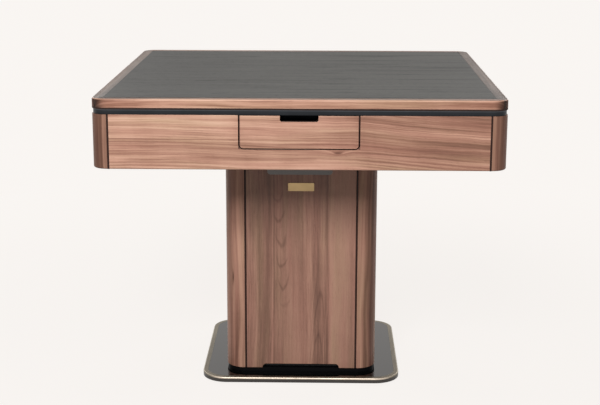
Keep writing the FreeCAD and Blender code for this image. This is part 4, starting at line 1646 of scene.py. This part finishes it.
@dataclass
class Console:
    """Operating console with two dice under a dome."""

    housing_edge: float = 0.0008
    dome_edge: float = 0.0003
    plate_edge: float = 0.0004
    dice_edge: float = 0.0018
    pip_apart: float = 0.0030
    pip_radius: float = 0.0011
    one_radius: float = 0.00187
    pip_proud: float = 0.00012
    button_round: float = 0.0018
    button_steps: int = 6
    button_dish: float = 0.0006
    dish_shares: tuple[float, ...] = (0.85, 0.6, 0.3, 0.0)

    def build(self) -> None:
        """Makes the console."""
        softened("console_housing", BLACK_MOULD, self.housing_edge)
        softened("console_dome", CLEAR, self.dome_edge)
        softened("dice_plate", BLACK_GLOSS, self.plate_edge)
        softened("dice_pair", IVORY, self.dice_edge, 4)
        self.pips("dice_pips_red", PIP_RED, (1, 4))
        self.pips("dice_pips_black", PIP_BLACK, (2, 3, 5, 6))
        for side in Side:
            self.button(side)

    def pips(self, name: str, finish: Finish, values: tuple[int, ...]) -> None:
        """Sets the pips of some of the faces of both dice.

        Args:
            name: The piece's name.
            finish: Its finish.
            values: The faces, by their number of pips.
        """
        shape = bmesh.new()
        low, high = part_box("dice_pair")
        half = (high[2] - low[2]) / 2
        middle = high[0] - half
        for x_middle, turn in ((middle, 0), (-middle, 90)):
            die = Matrix.Translation((x_middle, 0.0, low[2] + half))
            die @= Matrix.Rotation(math.radians(turn), 4, "X")
            for value in values:
                facing = Vector(FACE_OF[value]).to_track_quat("Z", "Y").to_matrix().to_4x4()
                radius = self.one_radius if value == 1 else self.pip_radius
                size = Matrix.Diagonal((radius, radius, self.pip_proud, 1.0))
                for x, y in PIPS_OF[value]:
                    place = Matrix.Translation((x * self.pip_apart, y * self.pip_apart, half))
                    matrix = die @ facing @ place @ size
                    bmesh.ops.create_uvsphere(shape, u_segments=20, v_segments=8, radius=1.0, matrix=matrix)
        piece(name, shape, finish, "dice_pair", replaces=False)

    def button(self, side: Side) -> None:
        """Makes one button: a rounded cap with a dished top.

        Args:
            side: The side that it faces.
        """
        node = f"console_button_{side.word}"
        low, high = (Vector(corner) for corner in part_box(node))
        radius = (high.x - low.x) / 2
        top = high.z
        profile = [(0.0, low.z), (radius, low.z), (radius, top - self.button_round)]
        for step in range(1, self.button_steps + 1):
            angle = math.pi / 2 * step / self.button_steps
            out = radius - self.button_round * (1.0 - math.cos(angle))
            profile.append((out, top - self.button_round * (1.0 - math.sin(angle))))
        inner = radius - self.button_round
        for share in self.dish_shares:
            dip = self.button_dish * (1.0 - (share / self.dish_shares[0]) ** 2)
            profile.append((inner * share, top - dip))
        shape = spun(profile)
        middle = (low + high) / 2
        bmesh.ops.translate(shape, verts=shape.verts, vec=(middle.x, middle.y, 0.0))
        piece(f"{node}_cap", shape, BUTTON_GREY, node)


@dataclass(frozen=True)
class Lamp:
    """One square soft light: its name, place, side and power."""

    name: str
    at: Point
    size: float
    watts: float

    def hang(self, aim: Vector) -> None:
        """Hangs the light, pointed at a place.

        Args:
            aim: Where it points.
        """
        data = bpy.data.lights.new(self.name, "AREA")
        data.shape = "SQUARE"
        data.size = self.size
        data.energy = self.watts
        towards = aim - Vector(self.at)
        turn = towards.to_track_quat("-Z", "Y").to_matrix().to_4x4()
        linked(self.name, data).matrix_world = Matrix.Translation(self.at) @ turn


@dataclass
class Studio:
    """Pale floor and surround, soft lights and the camera."""

    surround: Colour = (0.950, 0.917, 0.888)
    sky: Colour = (1.0, 0.99, 0.98)
    floor_colour: Colour = (0.34, 0.33, 0.32)
    shadow_span: tuple[float, float] = (0.6, 2.4)
    ambient: float = 0.21
    floor_half: float = 30.0
    floor_share: float = 0.09
    lamps_aim: Point = (0.0, 0.0, 0.5)
    lamps: tuple[Lamp, ...] = (
        Lamp("key", (-0.7, -4.2, 3.05), 1.5, 214.0),
        Lamp("back_left", (-2.2, 3.2, 1.9), 1.6, 34.0),
        Lamp("back_right", (2.2, 3.2, 1.9), 1.6, 34.0),
    )
    camera_at: Point = (0.05909, -3.60804, 1.29502)
    camera_yaw: float = -1.044
    camera_pitch: float = 13.275
    camera_roll: float = -0.135
    focal_px: float = 1321.55
    image_wide_px: float = 600.0
    sensor_mm: float = 36.0

    def build(self) -> None:
        """Makes the surroundings."""
        self.surroundings()
        self.floor()
        for lamp in self.lamps:
            lamp.hang(Vector(self.lamps_aim))
        self.camera()

    @staticmethod
    def shows(paint: Paint) -> Signal:
        """1 for rays that show the surround itself: camera, mirror-like and through glass.

        Args:
            paint: The nodes of the floor or the world.

        Returns:
            The 1 or 0.
        """
        path = paint.add("ShaderNodeLightPath")
        camera, glossy, through = (
            Signal(paint.tree, path.outputs[f"Is {kind} Ray"])
            for kind in ("Camera", "Glossy", "Transmission")
        )
        return (camera + glossy + through).held()

    def split(self, paint: Paint, shown: bpy.types.Node, light: bpy.types.Node) -> bpy.types.NodeSocket:
        """One shader for the rays that show the surround and another for those that light.

        Args:
            paint: The nodes of the floor or the world.
            shown: The shader for rays that show the surround.
            light: The shader for rays that light.

        Returns:
            The mixed shader.
        """
        sockets = {0: self.shows(paint), 1: light.outputs[0], 2: shown.outputs[0]}
        return paint.add("ShaderNodeMixShader", sockets=sockets).outputs[0]

    def surroundings(self) -> None:
        """Sets the world: pale where it shows, softer where it lights."""
        world = bpy.data.worlds.new("surround")
        bpy.context.scene.world = world
        paint = Paint(world)
        shown, light = (
            paint.add("ShaderNodeBackground", sockets={"Color": colour, "Strength": strength})
            for colour, strength in ((self.surround, 1.0), (self.sky, self.ambient))
        )
        paint.ended(self.split(paint, shown, light), "ShaderNodeOutputWorld")

    def floor(self) -> None:
        """Lays the floor, which keeps a soft shadow of the table."""
        shape = bmesh.new()
        bmesh.ops.create_grid(shape, x_segments=1, y_segments=1, size=self.floor_half)
        floor = meshed("studio_floor", shape)
        paint = Paint.named("studio_floor")
        x, y, _ = paint.parts(paint.placed())
        share = paint.eased((x * x + y * y) ** 0.5, *self.shadow_span, self.floor_share, 0.0)
        glow = paint.add("ShaderNodeEmission", sockets={"Color": self.surround, "Strength": 1.0})
        shadowed, bounce = (
            paint.add("ShaderNodeBsdfDiffuse", sockets={"Color": colour})
            for colour in (self.surround, self.floor_colour)
        )
        sockets = {0: share, 1: glow.outputs[0], 2: shadowed.outputs[0]}
        shown = paint.add("ShaderNodeMixShader", sockets=sockets)
        floor.data.materials.append(paint.ended(self.split(paint, shown, bounce)))

    def camera(self) -> None:
        """Sets the camera."""
        yaw = math.radians(self.camera_yaw)
        pitch = math.radians(self.camera_pitch)
        roll = math.radians(self.camera_roll)
        ahead = math.cos(pitch)
        forward = Vector((math.sin(yaw) * ahead, math.cos(yaw) * ahead, -math.sin(pitch)))
        level = Vector((math.cos(yaw), -math.sin(yaw), 0.0))
        down = forward.cross(level)
        right = level * math.cos(roll) + down * math.sin(roll)
        up = level * math.sin(roll) - down * math.cos(roll)
        turn = Matrix((right, up, -forward)).transposed().to_4x4()
        data = bpy.data.cameras.new("camera")
        data.sensor_width = self.sensor_mm
        data.lens = self.focal_px * self.sensor_mm / self.image_wide_px
        made = linked("camera", data)
        made.matrix_world = Matrix.Translation(self.camera_at) @ turn
        bpy.context.scene.camera = made


def main() -> None:
    """Builds every sub-assembly in order."""
    logging.basicConfig(level=logging.INFO, format="%(message)s")
    bpy.context.scene.view_settings.view_transform = "Standard"
    for assembly in (
        Studio, Base, Pedestal, Electrics, Apron, Drawers, Machine, PlayingSurface, Console, Cover
    ):
        log.info("-- %s", assembly.__name__)
        assembly().build()


if __name__ == "__main__":
    main()
